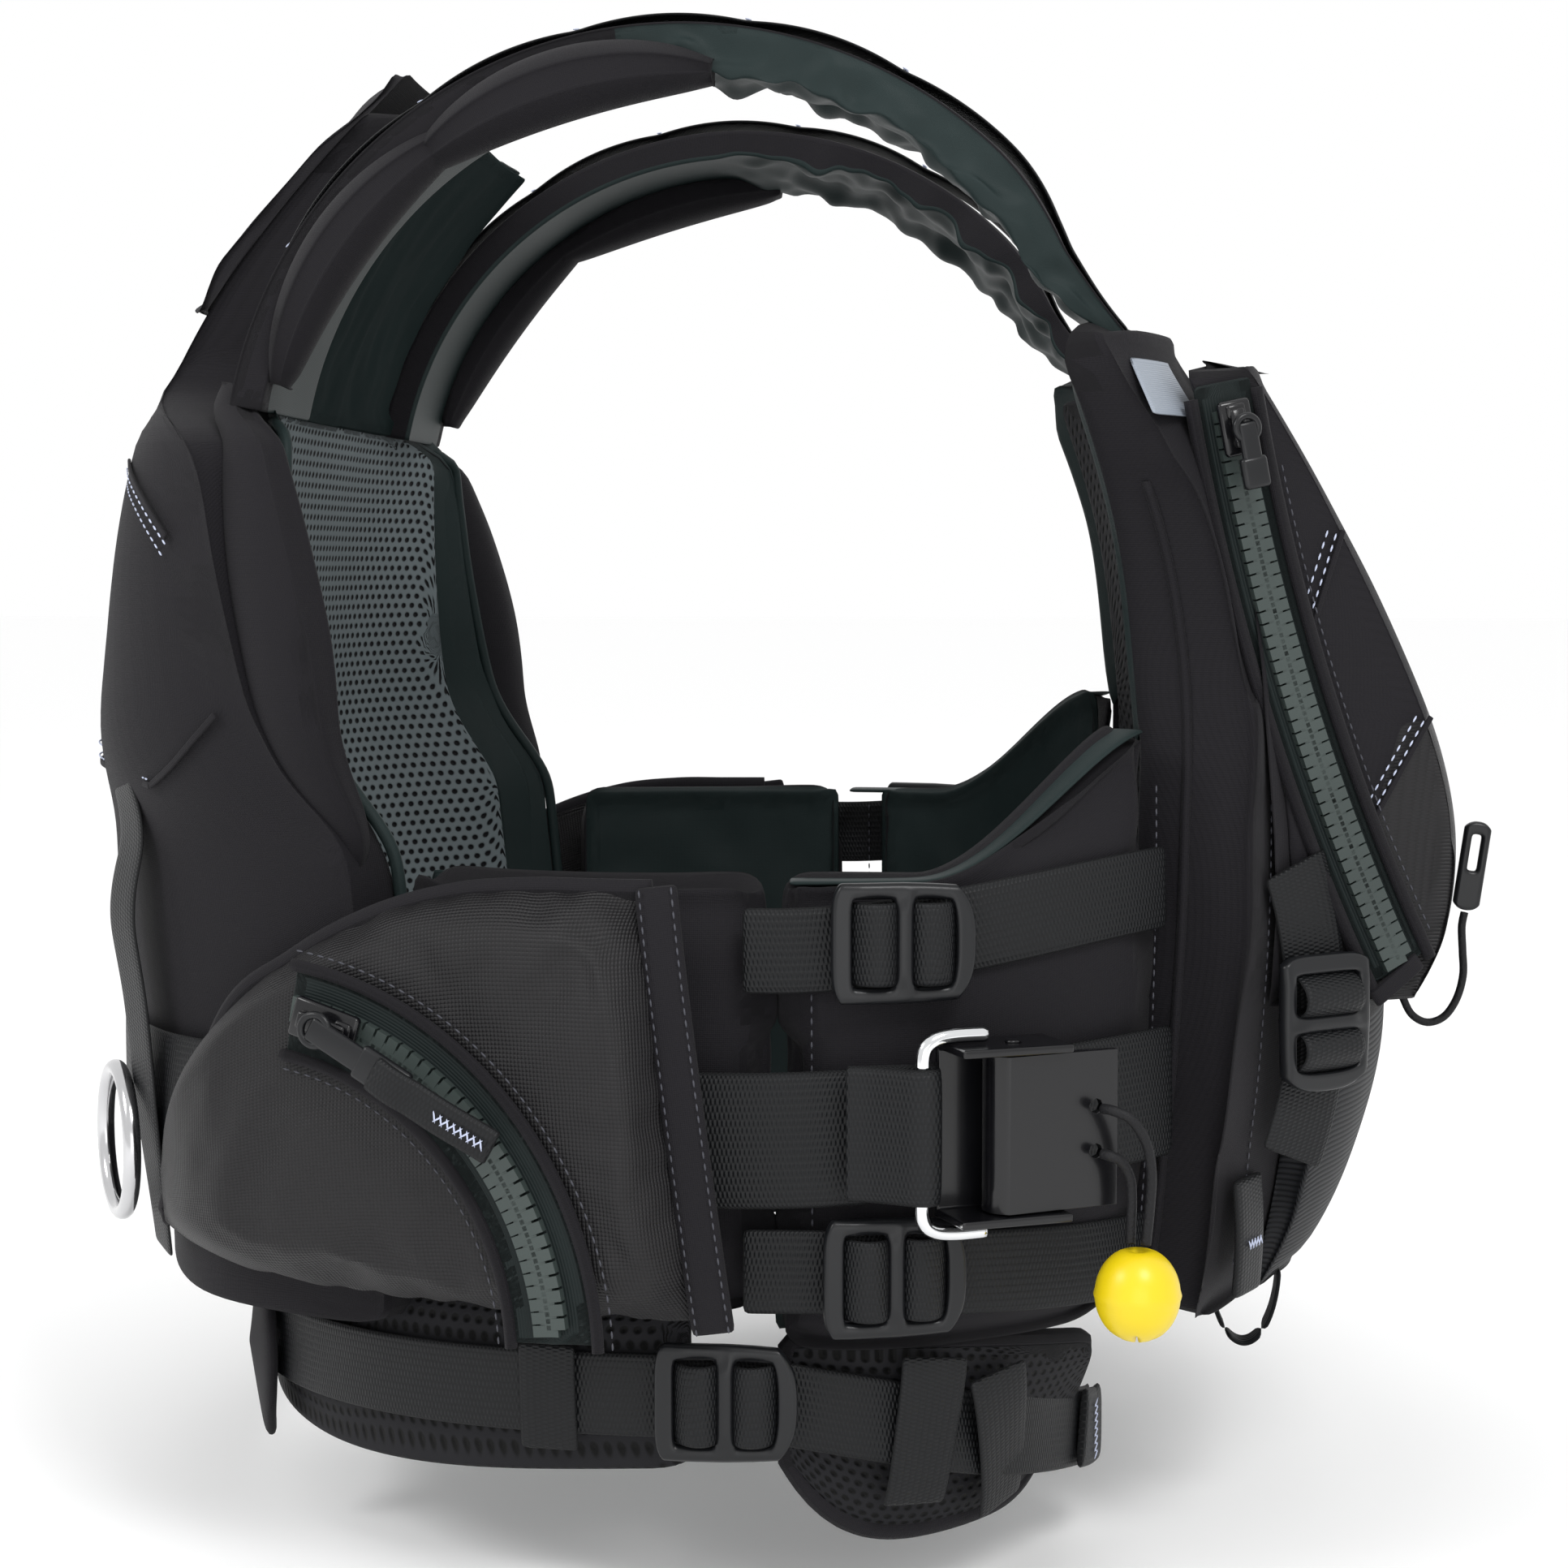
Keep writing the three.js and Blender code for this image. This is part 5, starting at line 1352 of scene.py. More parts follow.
# %% [markdown]
# ## Cords
# Two short legs of braided cord leave the holes in the buckle's lever and run down into the toggle ball. A thin
# elastic cord hangs in a loop under the chest pocket, up to its moulded pull tab. Their routes are fixed, because
# their lengths are the real ones.

# %% Cord routes
CORD_UPPER = [(0.024, 0.0065, 0.01927), (0.0255, 0.0064, 0.02277), (0.030, 0.004, 0.02527), (0.0345, -0.003, 0.02577),
              (0.0365, -0.012, 0.02527), (0.0363, -0.022, 0.02477), (0.0352, -0.0325, 0.02477)]
CORD_LOWER = [(0.024, -0.0065, 0.01927), (0.0252, -0.0067, 0.02137), (0.0285, -0.0085, 0.02217),
              (0.0315, -0.0135, 0.02177),
              (0.0323, -0.020, 0.02137), (0.0322, -0.026, 0.02127), (0.032, -0.0325, 0.02127)]
FRONT_CORD_Y = -0.034
FRONT_CORD = [(0.064, 0.152), (0.066, 0.146), (0.069, 0.1405), (0.074, 0.138), (0.0795, 0.140), (0.0835, 0.146),
              (0.0855, 0.154),
              (0.0852, 0.162), (0.0848, 0.170), (0.0856, 0.175)]


def braid(name, points, diameter, body, node, finish_with):
    line = smooth_line(points, 60)

    def thick(share):
        return diameter / 2 * (1 + 0.05 * math.sin(share * 60 * math.pi))

    thing = piece(name, tube_mesh(line, thick, 12), finish_with, body, [node], smooth=0)
    length = line_length(line)
    print(name, "length:", round(length * 1000, 1), "mm")
    return thing


for name, route, node in (("pull_cord_leg_upper", CORD_UPPER, "pull_cord_upper"),
                          ("pull_cord_leg_lower", CORD_LOWER, "pull_cord_lower")):
    braid(name, [BUCKLE @ Vector(p) for p in route], 0.003, "lever", node, CORD)

# %% [markdown]
# ## Side pockets
# Each side pocket is a half-round bellows of coarse pack cloth, bound along its arc with folded tape. On the right
# its outer face is flat where the curved zip is sewn in; a strip of softshell covers its front edge.

# %% Side pockets
POCKET_DEEP, POCKET_EDGE = 0.027, 0.005


def under_pocket(angle):
    return over_belt(angle) + WEBBING + 1.5 * GAP


def pocket_top(angle):
    return WING_BOTTOM + (WING_TOP - WING_BOTTOM) * math.sqrt(max(1 - max(0.0, (angle - 108) / 35.6) ** 2, 0.0))


def pocket_bottom(angle):
    return WING_BOTTOM + 0.014 * max(0.0, (angle - 126) / 17) ** 2


SIDE_ZIP_RADIUS = 0.097
ZIP_REAR = around(-1, 131, 0.120, under_pocket(131) + POCKET_DEEP - 0.003)
ZIP_FRONT = around(-1, 96, 0.120, under_pocket(96) + POCKET_DEEP - 0.005)
ZIP_FORWARD = Vector((ZIP_FRONT.x - ZIP_REAR.x, ZIP_FRONT.y - ZIP_REAR.y, 0)).normalized()
ZIP_OUT = Vector((ZIP_FORWARD.y, -ZIP_FORWARD.x, 0))


def ease(x):
    return math.sin(min(max(x, 0.0), 1.0) * math.pi / 2)


def side_pocket_place(side):
    def place(u, v, w):
        angle = lerp(142.5, lerp(91.6, 97.0, v), u ** 0.9)
        height = lerp(pocket_bottom(angle), pocket_top(angle), v)
        if w < 0.5:
            return around(side, angle, height, under_pocket(angle))
        full = ease(u * 3.6) * ease((1 - u) * 5) * ease(v * 4.4) * ease((1 - v) * 4.4)
        soft = dent(around(side, angle, height), 0.035, 0.0022, 3.0) * full
        point = around(side, angle, height, under_pocket(angle) + lerp(POCKET_EDGE, POCKET_DEEP, full) + soft)
        past = (point - ZIP_REAR).dot(ZIP_OUT)
        return point - ZIP_OUT * past if side < 0 and past > 0 else point
    return place


ZIP_ORIGIN = ZIP_REAR + ZIP_FORWARD * 0.008 + ZIP_OUT * 0.0005
ZIP_ORIGIN.z = HEM + 0.066
SIDE_ZIP = frame_from(ZIP_ORIGIN, ZIP_FORWARD, ZIP_OUT)


def near_zip(co):
    local = SIDE_ZIP.inverted() @ co
    return abs(math.hypot(local.x, local.y) - SIDE_ZIP_RADIUS) < 0.021 and local.z > -0.004


def held_down(co):
    """Near the zip, and against the wing behind, the bellows pocket can't puff."""
    return near_zip(co) or (co - around(-1 if co.y < 0 else 1, angle_of(co), co.z - HEM)).length < 0.034


def pocket_rim(side, lift):
    """Up the rear arc and along the top, at the bound edge."""
    spots = []
    for i in range(61):
        share = i / 60
        angle = lerp(142.8, 97, smoothstep(share, -0.25, 1.0))
        spots.append(around(side, angle, pocket_top(angle), under_pocket(angle) + lift))
    low = [around(side, a, lerp(pocket_bottom(a), pocket_top(a), s), under_pocket(a) + lift)
           for a, s in ((142.8, 0.05), (142.8, 0.4))]
    return smooth_line(low + spots[4::8] + [spots[-1]], 90)


for side, word in SIDES:
    bag = piece(f"side_bellows_{word}", slab_mesh(44, 36, side_pocket_place(side), 0.002, 2),
                [PACK_CLOTH, PACK_CLOTH],
                stands_for=[f"side_pocket_{word}"])
    puff(bag, 3.0, 0.02, 0.0025, pinned=held_down)
    piece(f"side_pocket_binding_{word}", tube_mesh(pocket_rim(side, 0.0035), 0.0036, 10, squash=0.7), SHELL, smooth=0)
    strip = [around(side, lerp(92.0, 97.4, v) - 0.9, lerp(0.072, 0.200, v),
                    under_pocket(94) + POCKET_EDGE + 0.0045 - 0.003 * abs(2 * v - 1) ** 4)
             for v in evenly(0.0, 1.0, 30)]
    webbing(f"side_pocket_strip_{word}", strip, chest_out, 0.0125, SHELL, thick=0.0032)
    edge = [p + chest_out(p) * 0.0019 for p in strip]
    grains(f"side_pocket_strip_stitches_{word}",
           seam_spots(edge, chest_out, offset=0.0046) + seam_spots(edge, chest_out, offset=-0.0046),
           DARK_THREAD)
print("side pockets ready")

# %% [markdown]
# ## Zips
# A moulded zip has separate teeth, each a small block with a rounded head that locks between two opposite heads. The
# tape is narrow ribbed cloth. The slider is a thick moulded shoe with a bridge, and the side zip's long pull has a
# webbing tail with a zigzag tack.

# %% Zip chain
TOOTH_PITCH, TOOTH_WIDTH, TOOTH_TALL = 0.0038, 0.0090, 0.0026


def tooth_mesh(width, pitch, tall):
    """One tooth: foot outside, head across the middle line, along x the zip's direction and y across it."""
    bm = bmesh.new()
    bmesh.ops.create_cube(bm, size=1.0)
    bmesh.ops.scale(bm, vec=(pitch * 0.86, width * 0.62, tall), verts=bm.verts)
    bmesh.ops.translate(bm, verts=bm.verts, vec=(0, width * 0.24, tall / 2))
    head = [f for f in bm.faces if f.calc_center_median().y < -width * 0.02 and f.normal.y < -0.5]
    inset = bmesh.ops.extrude_discrete_faces(bm, faces=head)["faces"]
    for face in inset:
        for v in face.verts:
            v.co.y -= width * 0.22
            v.co.x *= 1.12
            v.co.z = tall / 2 + (v.co.z - tall / 2) * 0.8
    bmesh.ops.remove_doubles(bm, verts=bm.verts, dist=1e-6)
    bmesh.ops.recalc_face_normals(bm, faces=bm.faces)
    return bm


def zip_chain(name, matrix, radius, start, end):
    """Teeth along an arc, from both sides in turn."""
    model = tooth_mesh(TOOTH_WIDTH, TOOTH_PITCH, TOOTH_TALL)
    holder = bpy.data.meshes.new("tooth")
    model.to_mesh(holder)
    model.free()
    bm = bmesh.new()
    count = int(abs(math.radians(end - start)) * radius / TOOTH_PITCH)
    for k in range(count * 2):
        turn = math.radians(lerp(start, end, (k + 0.5) / (count * 2)))
        flip = Matrix.Rotation(math.pi if k % 2 else 0.0, 4, "Z")
        spot = Matrix.Translation((radius * math.cos(turn), radius * math.sin(turn), SKIN))
        before = len(bm.verts)
        bm.from_mesh(holder)
        bm.verts.ensure_lookup_table()
        bmesh.ops.transform(bm, matrix=matrix @ spot @ Matrix.Rotation(turn + math.pi / 2, 4, "Z") @ flip,
                            verts=bm.verts[before:])
    bpy.data.meshes.remove(holder)
    bmesh.ops.recalc_face_normals(bm, faces=bm.faces)
    return piece(name, bm, TEETH, smooth=0)


def zip_tape(name, matrix, radius, start, end, width, node, thick=SKIN):
    count = max(24, int(abs(end - start)))

    def place(u, v, w):
        turn = math.radians(lerp(start, end, u))
        reach = radius + (v - 0.5) * width
        bead = 0.0006 * math.exp(-((v - 0.5) * width / 0.0035) ** 2)
        return matrix @ Vector((reach * math.cos(turn), reach * math.sin(turn), w * (thick + bead)))

    return piece(name, slab_mesh(count * (2 if count < 60 else 1), 10, place, 0.0003, 1), TAPE, stands_for=[node])


def arc_line(matrix, radius, start, end, lift, steps=60):
    return [matrix @ Vector((radius * math.cos(math.radians(t)), radius * math.sin(math.radians(t)), lift))
            for t in evenly(start, end, steps)]


zip_tape("side_zip_ribbon", SIDE_ZIP, SIDE_ZIP_RADIUS, 3, 81, 0.0265, "side_zip_tape")
zip_chain("side_zip_teeth", SIDE_ZIP, SIDE_ZIP_RADIUS, 5, 80)
for label, reach in (("outer", 0.1103), ("inner", 0.0837)):
    line = arc_line(SIDE_ZIP, reach, 2, 82, 0.0014)
    piece(f"side_zip_fold_{label}", tube_mesh(line, 0.0019, 8), SHELL, smooth=0)
    grains(f"side_zip_stitches_{label}",
           seam_spots(arc_line(SIDE_ZIP, reach + (0.0042 if label == "outer" else -0.0042), 2, 82, 0.0004),
                                                    ZIP_OUT), DARK_THREAD)
CHEST_ZIP_RADIUS = 0.660
CHEST_ORIGIN = WALL_REAR + WALL_FORWARD * 0.649 + WALL_OUT * 0.0005
CHEST_ORIGIN.z = HEM + 0.470
CHEST_ZIP = frame_from(CHEST_ORIGIN, WALL_FORWARD, WALL_OUT)
zip_tape("chest_zip_ribbon", CHEST_ZIP, CHEST_ZIP_RADIUS, 191, 207.4, 0.0185, "chest_zip_tape")
zip_chain("chest_zip_teeth", CHEST_ZIP, CHEST_ZIP_RADIUS, 191.6, 207.2)
for label, reach in (("rear", 0.6708), ("front", 0.6492)):
    piece(f"chest_zip_fold_{label}", tube_mesh(arc_line(CHEST_ZIP, reach, 191.3, 207.6, 0.0012, 80), 0.0021, 8),
          SHELL, smooth=0)
grains("chest_zip_stitches", seam_spots(arc_line(CHEST_ZIP, 0.6452, 193.4, 207.0, 0.0004, 80), WALL_OUT), DARK_THREAD)
print("zip chains ready")

# %% [markdown]
# A slider is two plates joined by a nose, with a bridge on top that holds the pull. It is built of rounded blocks
# lying flat and then carried to its place on the zip, riding on its own body so that it runs with the zip's joint.

# %% Sliders and pulls
def zip_place(matrix, radius, at, lift):
    turn = math.radians(at)
    return matrix @ Matrix.Translation((radius * math.cos(turn), radius * math.sin(turn), lift)) \
        @ Matrix.Rotation(turn - math.pi / 2, 4, "Z")


def slider_mesh(length, width, tall):
    plate = rounded_block((length, width, tall * 0.42), (0, 0, tall * 0.30), 0.0012, 3)
    for v in plate.verts:
        v.co.y *= 1 - 0.22 * abs(v.co.x / (length / 2)) ** 2
    nose = rounded_block((length * 0.26, width * 0.5, tall * 0.62), (length * 0.3, 0, tall * 0.36), 0.001, 3)
    bridge = rounded_block((length * 0.72, width * 0.36, tall * 0.3), (0, 0, tall * 0.80), 0.0009, 3)
    for v in bridge.verts:
        v.co.z -= 0.0016 * abs(v.co.x / (length * 0.36)) ** 3
    heel = rounded_block((length * 0.16, width * 0.36, tall * 0.5), (-length * 0.28, 0, tall * 0.6), 0.0007, 2)
    return join(plate, nose, bridge, heel)


def pull_mesh(length, width, thick):
    """A moulded tab with an eye at its root and a raised rim round its finger end."""
    stem = rounded_block((length, width * 0.72, thick * 0.8), (length / 2 - 0.0015, 0, thick * 0.5), 0.0011, 3)
    ring = bmesh.new()
    bmesh.ops.create_circle(ring, segments=20, radius=thick * 0.36)
    bmesh.ops.rotate(ring, verts=ring.verts, cent=(0, 0, 0), matrix=Matrix.Rotation(math.pi / 2, 3, "X"))
    bmesh.ops.translate(ring, verts=ring.verts, vec=(width * 0.42, 0, 0))
    bmesh.ops.spin(ring, geom=ring.verts[:] + ring.edges[:], cent=(0, 0, 0), axis=(0, 0, 1), angle=2 * math.pi,
                   steps=24, use_merge=True)
    bmesh.ops.remove_doubles(ring, verts=ring.verts, dist=1e-5)
    bmesh.ops.translate(ring, verts=ring.verts, vec=(0.0004, 0, thick * 0.5))
    pad = rounded_block((length * 0.5, width, thick), (length * 0.72, 0, thick * 0.5), 0.0013, 3)
    return join(stem, shade_smooth(ring), pad)


SLIDER_LIFT = SKIN + 0.0030
side_slider = zip_place(SIDE_ZIP, SIDE_ZIP_RADIUS, 73, SLIDER_LIFT)
piece("side_zip_shoe", placed(slider_mesh(0.021, 0.0145, 0.0068), side_slider), GLOSS, "side_slider",
      ["side_zip_slider"], smooth=0)
side_pull = side_slider @ Matrix.Translation((0, 0, 0.007)) @ Matrix.Rotation(math.radians(-12), 4, "Z")
pull = pull_mesh(0.034, 0.0105, 0.0032)
piece("side_zip_grip", placed(pull, side_pull), PLASTIC, "side_pull", ["side_zip_pull"], smooth=0)
tail = []
for i in range(25):
    lift = 0.0036 + 0.0012 * math.sin(math.pi * min(i / 8, 1.0)) - 0.0022 * smoothstep(i / 24, 0.5, 1.0)
    tail.append(side_pull @ Vector((lerp(0.022, 0.0632, i / 24), 0, lift)))
webbing("side_zip_tail", tail, side_pull.to_3x3() @ Vector((0, 0, 1)), 0.0108, WEB, "side_pull", thick=0.0030)
tail_along = (tail[-1] - tail[12]).normalized()
tail_out = (side_pull.to_3x3() @ Vector((0, 0, 1)))
tail_out = (tail_out - tail_along * tail_out.dot(tail_along)).normalized()
grains("side_zip_tail_tack", zigzag_spots(tail[13] + tail_out * 0.0017, tail_along, tail_out, 0.017, 0.0017, 0.0011),
       PALE_THREAD,
       "side_pull", size=(0.0042, 0.0006, 0.0005))

chest_slider = zip_place(CHEST_ZIP, CHEST_ZIP_RADIUS, 192.2, SLIDER_LIFT)
piece("chest_zip_shoe", placed(slider_mesh(0.0165, 0.0125, 0.006), chest_slider), GLOSS, "chest_slider",
      ["chest_zip_slider"], smooth=0)
chest_pull = chest_slider @ Matrix.Translation((0, 0, 0.007)) @ Matrix.Rotation(math.pi, 4, "Z")
piece("chest_zip_grip", placed(pull_mesh(0.019, 0.0085, 0.003), chest_pull), PLASTIC, "chest_pull",
      ["chest_zip_pull"], smooth=0)
print("sliders ready")

# %% [markdown]
# ## Ring, keeper and waist
# A polished steel ring hangs from a vertical webbing keeper on the back. Below, a waist belt holds mesh-covered pads
# with bound edges against the hips; its free ends are folded over and tacked with pale zigzags.

# %% Back ring and its keeper
RING_ANGLE, RING_RADIUS, RING_WIRE = 152, 0.02275, 0.00275
RING = side_frame(-1, RING_ANGLE, 0.107, over_belt(RING_ANGLE) + 2 * WEBBING + 3.5 * GAP + RING_WIRE)
ring_line = [RING @ Vector((RING_RADIUS * math.cos(t), RING_RADIUS * math.sin(t), 0))
             for t in [2 * math.pi * i / 64 for i in range(64)]]
piece("harness_ring", tube_mesh(ring_line, RING_WIRE, 16, closed=True), STEEL, "ring", ["back_ring"], smooth=0)
KEEPER_ANGLE = 147.5


def keeper_offset(height):
    """Over the belt, easing in towards the back shell near its top."""
    ease_in = 0.0085 * smoothstep(height, 0.175, 0.226)
    bow = 0.0015 * math.sin(math.pi * min(max((height - 0.15) / 0.07, 0), 1)) ** 2
    return over_belt(KEEPER_ANGLE) + 1.5 * WEBBING + GAP + 0.0005 - ease_in + bow


keeper = [around(-1, KEEPER_ANGLE, h, keeper_offset(h)) for h in evenly(0.074, 0.222, 50)]
webbing("ring_webbing", keeper, chest_out, 0.0215, stands_for=["ring_keeper"])
print("ring ready")


# %% Waist pads and lumbar pad
def lumbar_place(u, v, w):
    turn = lerp(94.5, 265.5, u)
    side, angle = (-1, turn) if turn <= 180 else (1, 360 - turn)
    top = 0.058 + 0.0165 * (1 - smoothstep(angle, 126, 136))
    height = lerp(0.020 + 0.004 * math.cos(math.radians(turn * 4)), top, v)
    return around(side, angle, height, 0.0035 + w * 0.0095 * (1 - 0.3 * (2 * v - 1) ** 4))


lumbar = piece("lumbar_cushion", slab_mesh(64, 8, lumbar_place, 0.0022, 2), [AIR_MESH, AIR_MESH],
               stands_for=["lumbar_pad"])
puff(lumbar, 2.0, 0.01, 0.0015)


def hip_place(side):
    def place(u, v, w):
        angle = lerp(84.5, 49, u)
        bottom = 0.002 + 0.024 * abs(2 * u - 1) ** 4
        top = 0.062 - 0.012 * u * u
        base = 0.0035 + w * 0.0095 * (1 - 0.25 * (2 * v - 1) ** 4)
        return around(side, angle, lerp(bottom, top, v), base)
    return place


def rim_line(place, w, steps=28):
    """Once round the edge of a slab."""
    spots = [place(i / steps, 0, w) for i in range(steps)] + [place(1, i / steps, w) for i in range(steps)]
    spots += [place(1 - i / steps, 1, w) for i in range(steps)] + [place(0, 1 - i / steps, w) for i in range(steps)]
    return resample(spots + [spots[0]], 110)[:-1]


for side, word in SIDES:
    hip = piece(f"hip_cushion_{word}", slab_mesh(26, 16, hip_place(side), 0.0025, 2), [AIR_MESH, AIR_MESH],
                stands_for=[f"waist_pad_{word}"])
    puff(hip, 2.0, 0.01, 0.0015)
    piece(f"hip_binding_{word}", tube_mesh(rim_line(hip_place(side), 0.55), 0.0038, 10, closed=True), SHELL, smooth=0)
    for k, (angle, lean) in enumerate(((72.5, -1.2), (64.5, 0.6))):
        loop = [around(side, angle + lean * s, waist_height(angle) + lerp(-0.024, 0.022, (s + 1) / 2),
                       WAIST_OFFSET + WEBBING + 0.0006 + 0.0016 * (1 - s ** 4)) for s in evenly(-1, 1, 24)]
        webbing(f"hip_loop_{k}_{word}", loop, chest_out, 0.021)
    end = [around(side, lerp(49.5, 42.6, i / 12), waist_height(lerp(49.5, 42.6, i / 12)),
                  WAIST_OFFSET + WEBBING + 0.0020) for i in range(13)]
    webbing(f"waist_tab_{word}", end, chest_out, SIDE_WEBBING, thick=0.0030)
    out = chest_out(end[5])
    start = end[6] - UP * 0.0095 + out * 0.0016
    grains(f"waist_tab_tack_{word}", zigzag_spots(start, UP, out, 0.019, 0.0022, 0.0012), PALE_THREAD,
           size=(0.005, 0.0006, 0.0005))
    keep = [around(side, 108, 0.046 + s * 0.016, WAIST_OFFSET + WEBBING + 0.0012) for s in evenly(-1, 1, 12)]
    webbing(f"waist_keeper_{word}", keep, chest_out, 0.018)
    back_loop = [around(side, 150 - 4 * math.sin(math.pi * s), 0.043,
                        WAIST_OFFSET + 0.001 + 0.004 * math.sin(math.pi * s)) + Vector((0, 0, lerp(0.019, -0.026, s)))
                 for s in evenly(0.0, 1.0, 16)]
    webbing(f"waist_rear_loop_{word}", back_loop, chest_out, 0.026, SHELL, thick=0.0045)
print("waist ready")

# %% [markdown]
# ## Shoulder adjusters, lash tab and front cord
# Each shoulder strap comes down beside the chest pocket and through a ladder lock. A lash tab of folded webbing is sewn
# low on the right front. The front pull is a flat moulded tab with a slot.

# %% Adjusters and lash tab
for side, word in SIDES:
    route = [(0.025, 0.0063, 0.200), (0.029, 0.0054, 0.188), (0.032, 0.0048, 0.174), (0.033, 0.0048, 0.160),
             (0.033, 0.0048, 0.140), (0.030, 0.0054, 0.124), (0.025, 0.0064, 0.110)]
    strap = smooth_line([on_wall(side, *spot) for spot in route], 40)
    webbing(f"adjuster_webbing_{word}", strap, wall_facing(side), SIDE_WEBBING,
            stands_for=[f"shoulder_adjust_strap_{word}"])

tab_base = across(True, -0.104, 0.087, front_shell(0.087) + 2.8 * GAP)
tab_out = chest_out(tab_base)
tab_line = []
for i in range(17):
    swell = tab_out * (0.0015 + 0.001 * math.sin(math.pi * i / 16))
    tab_line.append(tab_base + UP * lerp(-0.018, 0.018, i / 16) + swell)
webbing("lash_tab_webbing", tab_line, tab_out, 0.020, stands_for=["lash_tab"], thick=0.003)
tab_along = tab_out.cross(Vector((0, 0, 1))).normalized()
grains("lash_tab_tack", zigzag_spots(tab_base + tab_out * 0.0042 + Vector((0, 0, -0.002)) - tab_along * 0.0052,
                                     tab_along, tab_out, 0.0105, 0.0018, 0.0011),
       PALE_THREAD, size=(0.0042, 0.0006, 0.0005))
print("adjusters ready")

# %% Front cord and its pull
front_frame = frame_from(Vector((FRONT_DEPTH + 0.0857, FRONT_CORD_Y, HEM + 0.1756)), Vector((0.14, 0, 1)),
                         Vector((0, -1, 0)))


def pull_tab_mesh():
    bm = bmesh.new()
    bmesh.ops.create_grid(bm, x_segments=20, y_segments=6, size=0.5)
    bmesh.ops.scale(bm, vec=(0.030, 0.009, 1), verts=bm.verts)
    slot = [f for f in bm.faces if -0.001 < f.calc_center_median().x < 0.011 and abs(f.calc_center_median().y) < 0.0012]
    bmesh.ops.delete(bm, geom=slot, context="FACES")
    for v in bm.verts:
        x, y = v.co.x / 0.015, abs(v.co.y) / 0.0045
        v.co.x *= 1 - 0.16 * y ** 3 * abs(x) ** 3
    grown = bmesh.ops.extrude_face_region(bm, geom=bm.faces[:])["geom"]
    bmesh.ops.translate(bm, verts=verts_in(grown), vec=(0, 0, 0.0042))
    bmesh.ops.translate(bm, verts=bm.verts, vec=(0.015, 0, -0.0021))
    return shade_smooth(bm)


pull_tab = piece("front_pull", placed(pull_tab_mesh(), front_frame), PLASTIC, "vest", ["front_pull_tab"])
braid("front_elastic_cord", [Vector((FRONT_DEPTH + x, FRONT_CORD_Y, HEM + z)) for x, z in FRONT_CORD], 0.0026,
      "vest", "front_cord",
      CORD)
print("front cord ready")

# %% [markdown]
# ## Seams, patches and edges
# What makes a sewn thing read as sewn is its lines: twin rows of pale thread where the maker wants to show a seam,
# dark thread elsewhere, a thin cord of piping, and a shallow welt where two cloths meet. Each line is a few places on
# the chest joined by a smooth curve, laid just above the cloth.

# %% Lines of thread
def twin_rows(name, points, thread, outs, gap=0.0042, lift=0.0004):
    """Two rows of stitches side by side along a smooth line."""
    line = smooth_line(points, 40)
    spots = seam_spots(line, outs, lift=lift, offset=gap / 2) + seam_spots(line, outs, lift=lift, offset=-gap / 2)
    return grains(name, spots, thread)


def welt(name, points, outs, width=0.0022, lift=0.0001):
    """A low raised edge along a seam."""
    line = smooth_line(points, 50)
    outs = [outs(p) if callable(outs) else outs for p in line]
    return webbing(name, [p + out * lift for p, out in zip(line, outs)], outs, width, SHELL, thick=0.0011)


def on_back(side, y, height, lift=0.0):
    base = across(False, y, height)
    soft = dent(base, 0.045, 0.0012, 1.3)
    return across(False, side * y, height, back_shell(angle_of(base), height) + lift + soft * (side > 0))


def on_pocket(along, height, lift=0.0004):
    point = WALL_REAR + WALL_FORWARD * along + WALL_OUT * lift
    return Vector((point.x, point.y, HEM + height))


BACK_SEAMS = (((0.010, 0.2245), (0.045, 0.226), (0.080, 0.2265), (0.118, 0.2232)),
              ((0.118, 0.2232), (0.127, 0.230), (0.134, 0.238), (0.139, 0.246)),
              ((0.102, 0.322), (0.114, 0.317), (0.124, 0.308), (0.131, 0.298)))

for side, word in SIDES:
    low, rise, top = [[on_back(side, y, h, 0.0006) for y, h in seam] for seam in BACK_SEAMS]
    for label, points in (("low", low), ("rise", rise), ("top", top)):
        welt(f"back_{label}_seam_{word}", points, chest_out)
    for label, points, shift in (("low", low, 0.004), ("top", top, -0.004)):
        twin_rows(f"back_{label}_thread_{word}", [p + UP * shift for p in points], PALE_THREAD, chest_out,
                  lift=0.0008)
    wing_seam = [around(side, a, h, 0.0202) for a, h in ((48.5, 0.225), (48.2, 0.19), (48.2, 0.14), (48.5, 0.09))]
    edge_seam = [around(side, 82.4, h, 0.0196) for h in (0.192, 0.16, 0.12, 0.075)]
    heights = evenly(0.075, 0.315, 12)
    gusset = [across(True, side * (front_half(h) - 0.0095), h, front_shell(h) + 0.0003) for h in heights]
    for label, points, count in (("wing", wing_seam, 40), ("wing_edge", edge_seam, 40), ("front_edge", gusset, 70)):
        grains(f"{label}_thread_{word}", seam_spots(smooth_line(points, count), chest_out), DARK_THREAD)
    side_wall = [across(True, side * (front_half(h) + 0.0002), h, front_shell(h) * 0.5) for h in heights]
    piece(f"front_edge_piping_{word}", tube_mesh(smooth_line(side_wall, 60), 0.0016, 8), SHELL, smooth=0)
print("seams on", len(SIDES), "sides")

# %% [markdown]
# The chest pocket has two seams across its wall, each with twin rows of pale thread. Its zip ends at the bottom in a
# folded cloth stop, and a welt runs beside the zip.

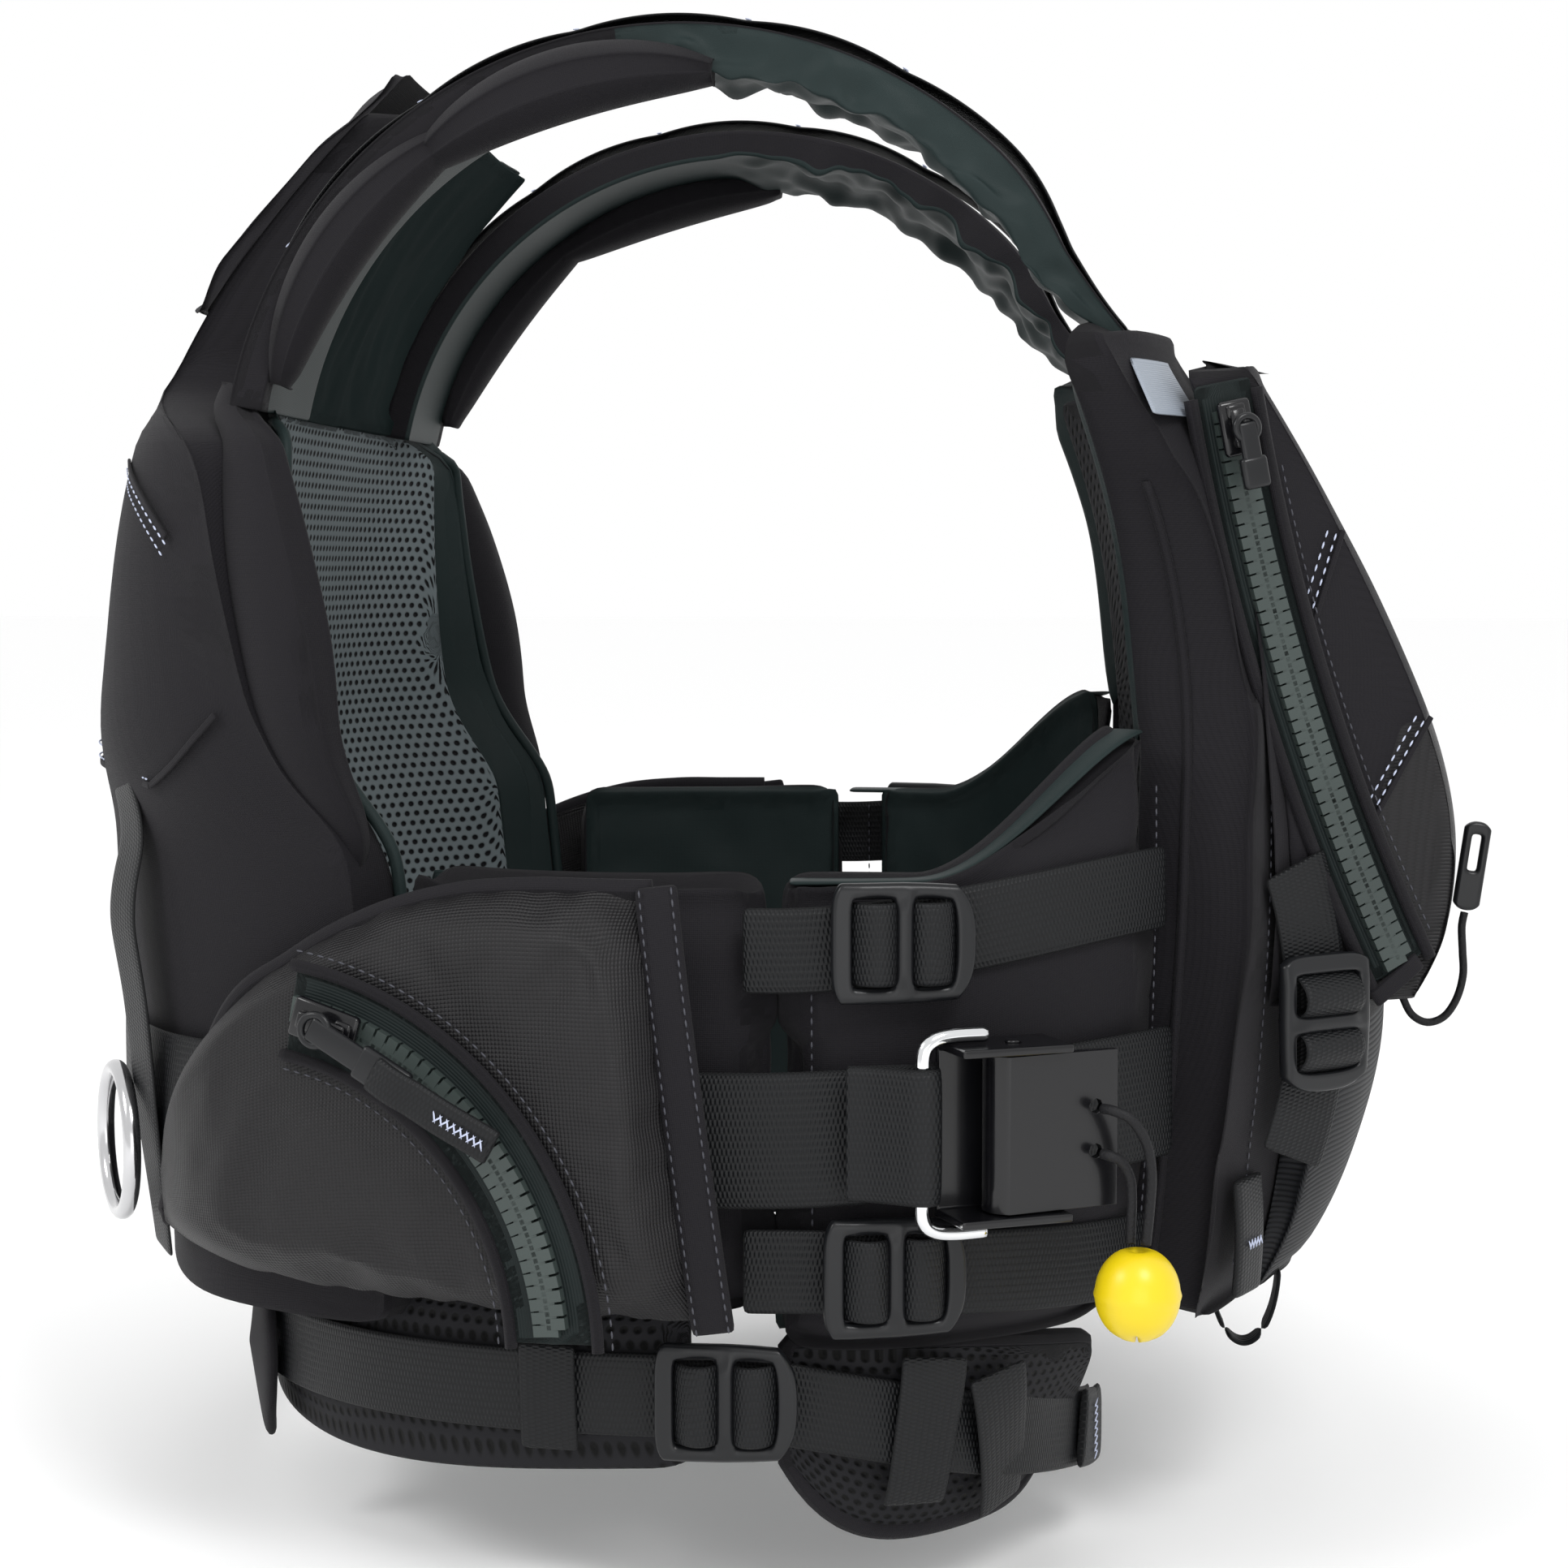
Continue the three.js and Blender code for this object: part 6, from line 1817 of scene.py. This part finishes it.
# %% Pocket seams
for label, start, end in (("high", (0.0300, 0.263), (0.0425, 0.3005)), ("low", (0.0500, 0.205), (0.0735, 0.2435))):
    points = [on_pocket(lerp(start[0], end[0], i / 6), lerp(start[1], end[1], i / 6)) for i in range(7)]
    welt(f"pocket_{label}_welt", points, WALL_OUT, 0.0018, 0.0002)
    twin_rows(f"pocket_{label}_thread", [p + WALL_FORWARD * -0.0036 for p in points], PALE_THREAD, WALL_OUT,
              gap=0.003)
stop = [on_pocket(a, h, 0.0028) for a, h in ((0.0635, 0.1605), (0.0600, 0.1650))]
stop_line = [stop[0].lerp(stop[1], i / 8) for i in range(9)]
webbing("chest_zip_stop", stop_line, WALL_OUT, 0.020, SHELL, thick=0.0030)
print("pocket seams ready")

# %% [markdown]
# Two plain light-grey patches carry no lettering: a small one on the right shoulder's front end and a rounded one on
# the middle of the back. A short loop of ribbed webbing hangs from the front hem.

# %% Patches and the hem loop
def back_patch(u, v, w):
    height = 0.256 + (v - 0.5) * 0.058
    round_off = math.sqrt(max(1 - (0.96 * (2 * v - 1)) ** 4, 0.02))
    y = (2 * u - 1) * 0.026 * round_off
    return on_back(-1, y, height, 0.0004 + w * 0.0011)


def horn_patch(u, v, w):
    height = 0.3425 + (v - 0.5) * 0.017
    y = -0.1165 + (u - 0.5) * 0.020 + (v - 0.5) * 0.004
    return across(True, y, height, front_shell(height) * horn_thinning(height) + 0.0012 + w * 0.0011)


for name, place in (("back_patch", back_patch), ("shoulder_patch", horn_patch)):
    piece(name, slab_mesh(16, 16, place, 0.0003, 1), [PATCH, PATCH])
loop_line = []
for i in range(25):
    turn = math.pi * (0.02 + 0.96 * i / 24)
    loop_line.append(Vector((0.151 + 0.011 * (1 - math.cos(turn)) - 0.006, -0.075,
                             HEM + 0.066 - 0.026 * math.sin(turn))))
webbing("hem_loop", loop_line, [Vector((math.cos(math.pi * i / 24), 0, -math.sin(math.pi * i / 24) - 0.2))
                                for i in range(25)], 0.0105, STRETCH,
        thick=0.0016)
print("patches ready")

# %% [markdown]
# ## Light and floor
# Black cloth needs broad light to show its form: a bright pale room, a large soft lamp above and in front, a second
# one from the back, and a low one that fills the underside.

# %% Stage
def soft_lamp(name, place, aim, power, size):
    data = bpy.data.lights.new(name, "AREA")
    data.energy = power
    data.size = size
    lamp = bpy.data.objects.new(name, data)
    lamp.location = place
    lamp.rotation_euler = (Vector(aim) - Vector(place)).to_track_quat("-Z", "Y").to_euler()
    bpy.context.scene.collection.objects.link(lamp)


soft_lamp("key_lamp", (0.6, -1.2, 1.0), (0.0, 0.0, -0.2), 13, 0.55)
soft_lamp("rear_lamp", (-1.2, -0.8, 0.7), (0.0, 0.0, -0.2), 8, 0.5)
soft_lamp("low_lamp", (0.2, -1.3, -0.35), (0.0, 0.0, -0.25), 2.5, 0.8)

world = bpy.data.worlds.new("pale_room")
bpy.context.scene.world = world
world.use_nodes = True
world.node_tree.nodes["Background"].inputs["Color"].default_value = (1, 1, 1, 1)
world.node_tree.nodes["Background"].inputs["Strength"].default_value = 1.0

floor_mesh = bmesh.new()
bmesh.ops.create_grid(floor_mesh, x_segments=1, y_segments=1, size=15)
bmesh.ops.translate(floor_mesh, verts=floor_mesh.verts, vec=(0, 0, HEM - 0.02))
floor_data = bpy.data.meshes.new("floor")
floor_mesh.to_mesh(floor_data)
floor_mesh.free()
floor = bpy.data.objects.new("floor", floor_data)
bpy.context.scene.collection.objects.link(floor)
floor_finish = bpy.data.materials.new("pale_floor")
floor_finish.use_nodes = True
floor_finish.node_tree.nodes["Principled BSDF"].inputs["Base Color"].default_value = (0.99, 0.99, 0.99, 1)
floor_finish.node_tree.nodes["Principled BSDF"].inputs["Roughness"].default_value = 1.0
floor_data.materials.append(floor_finish)
print("stage ready")
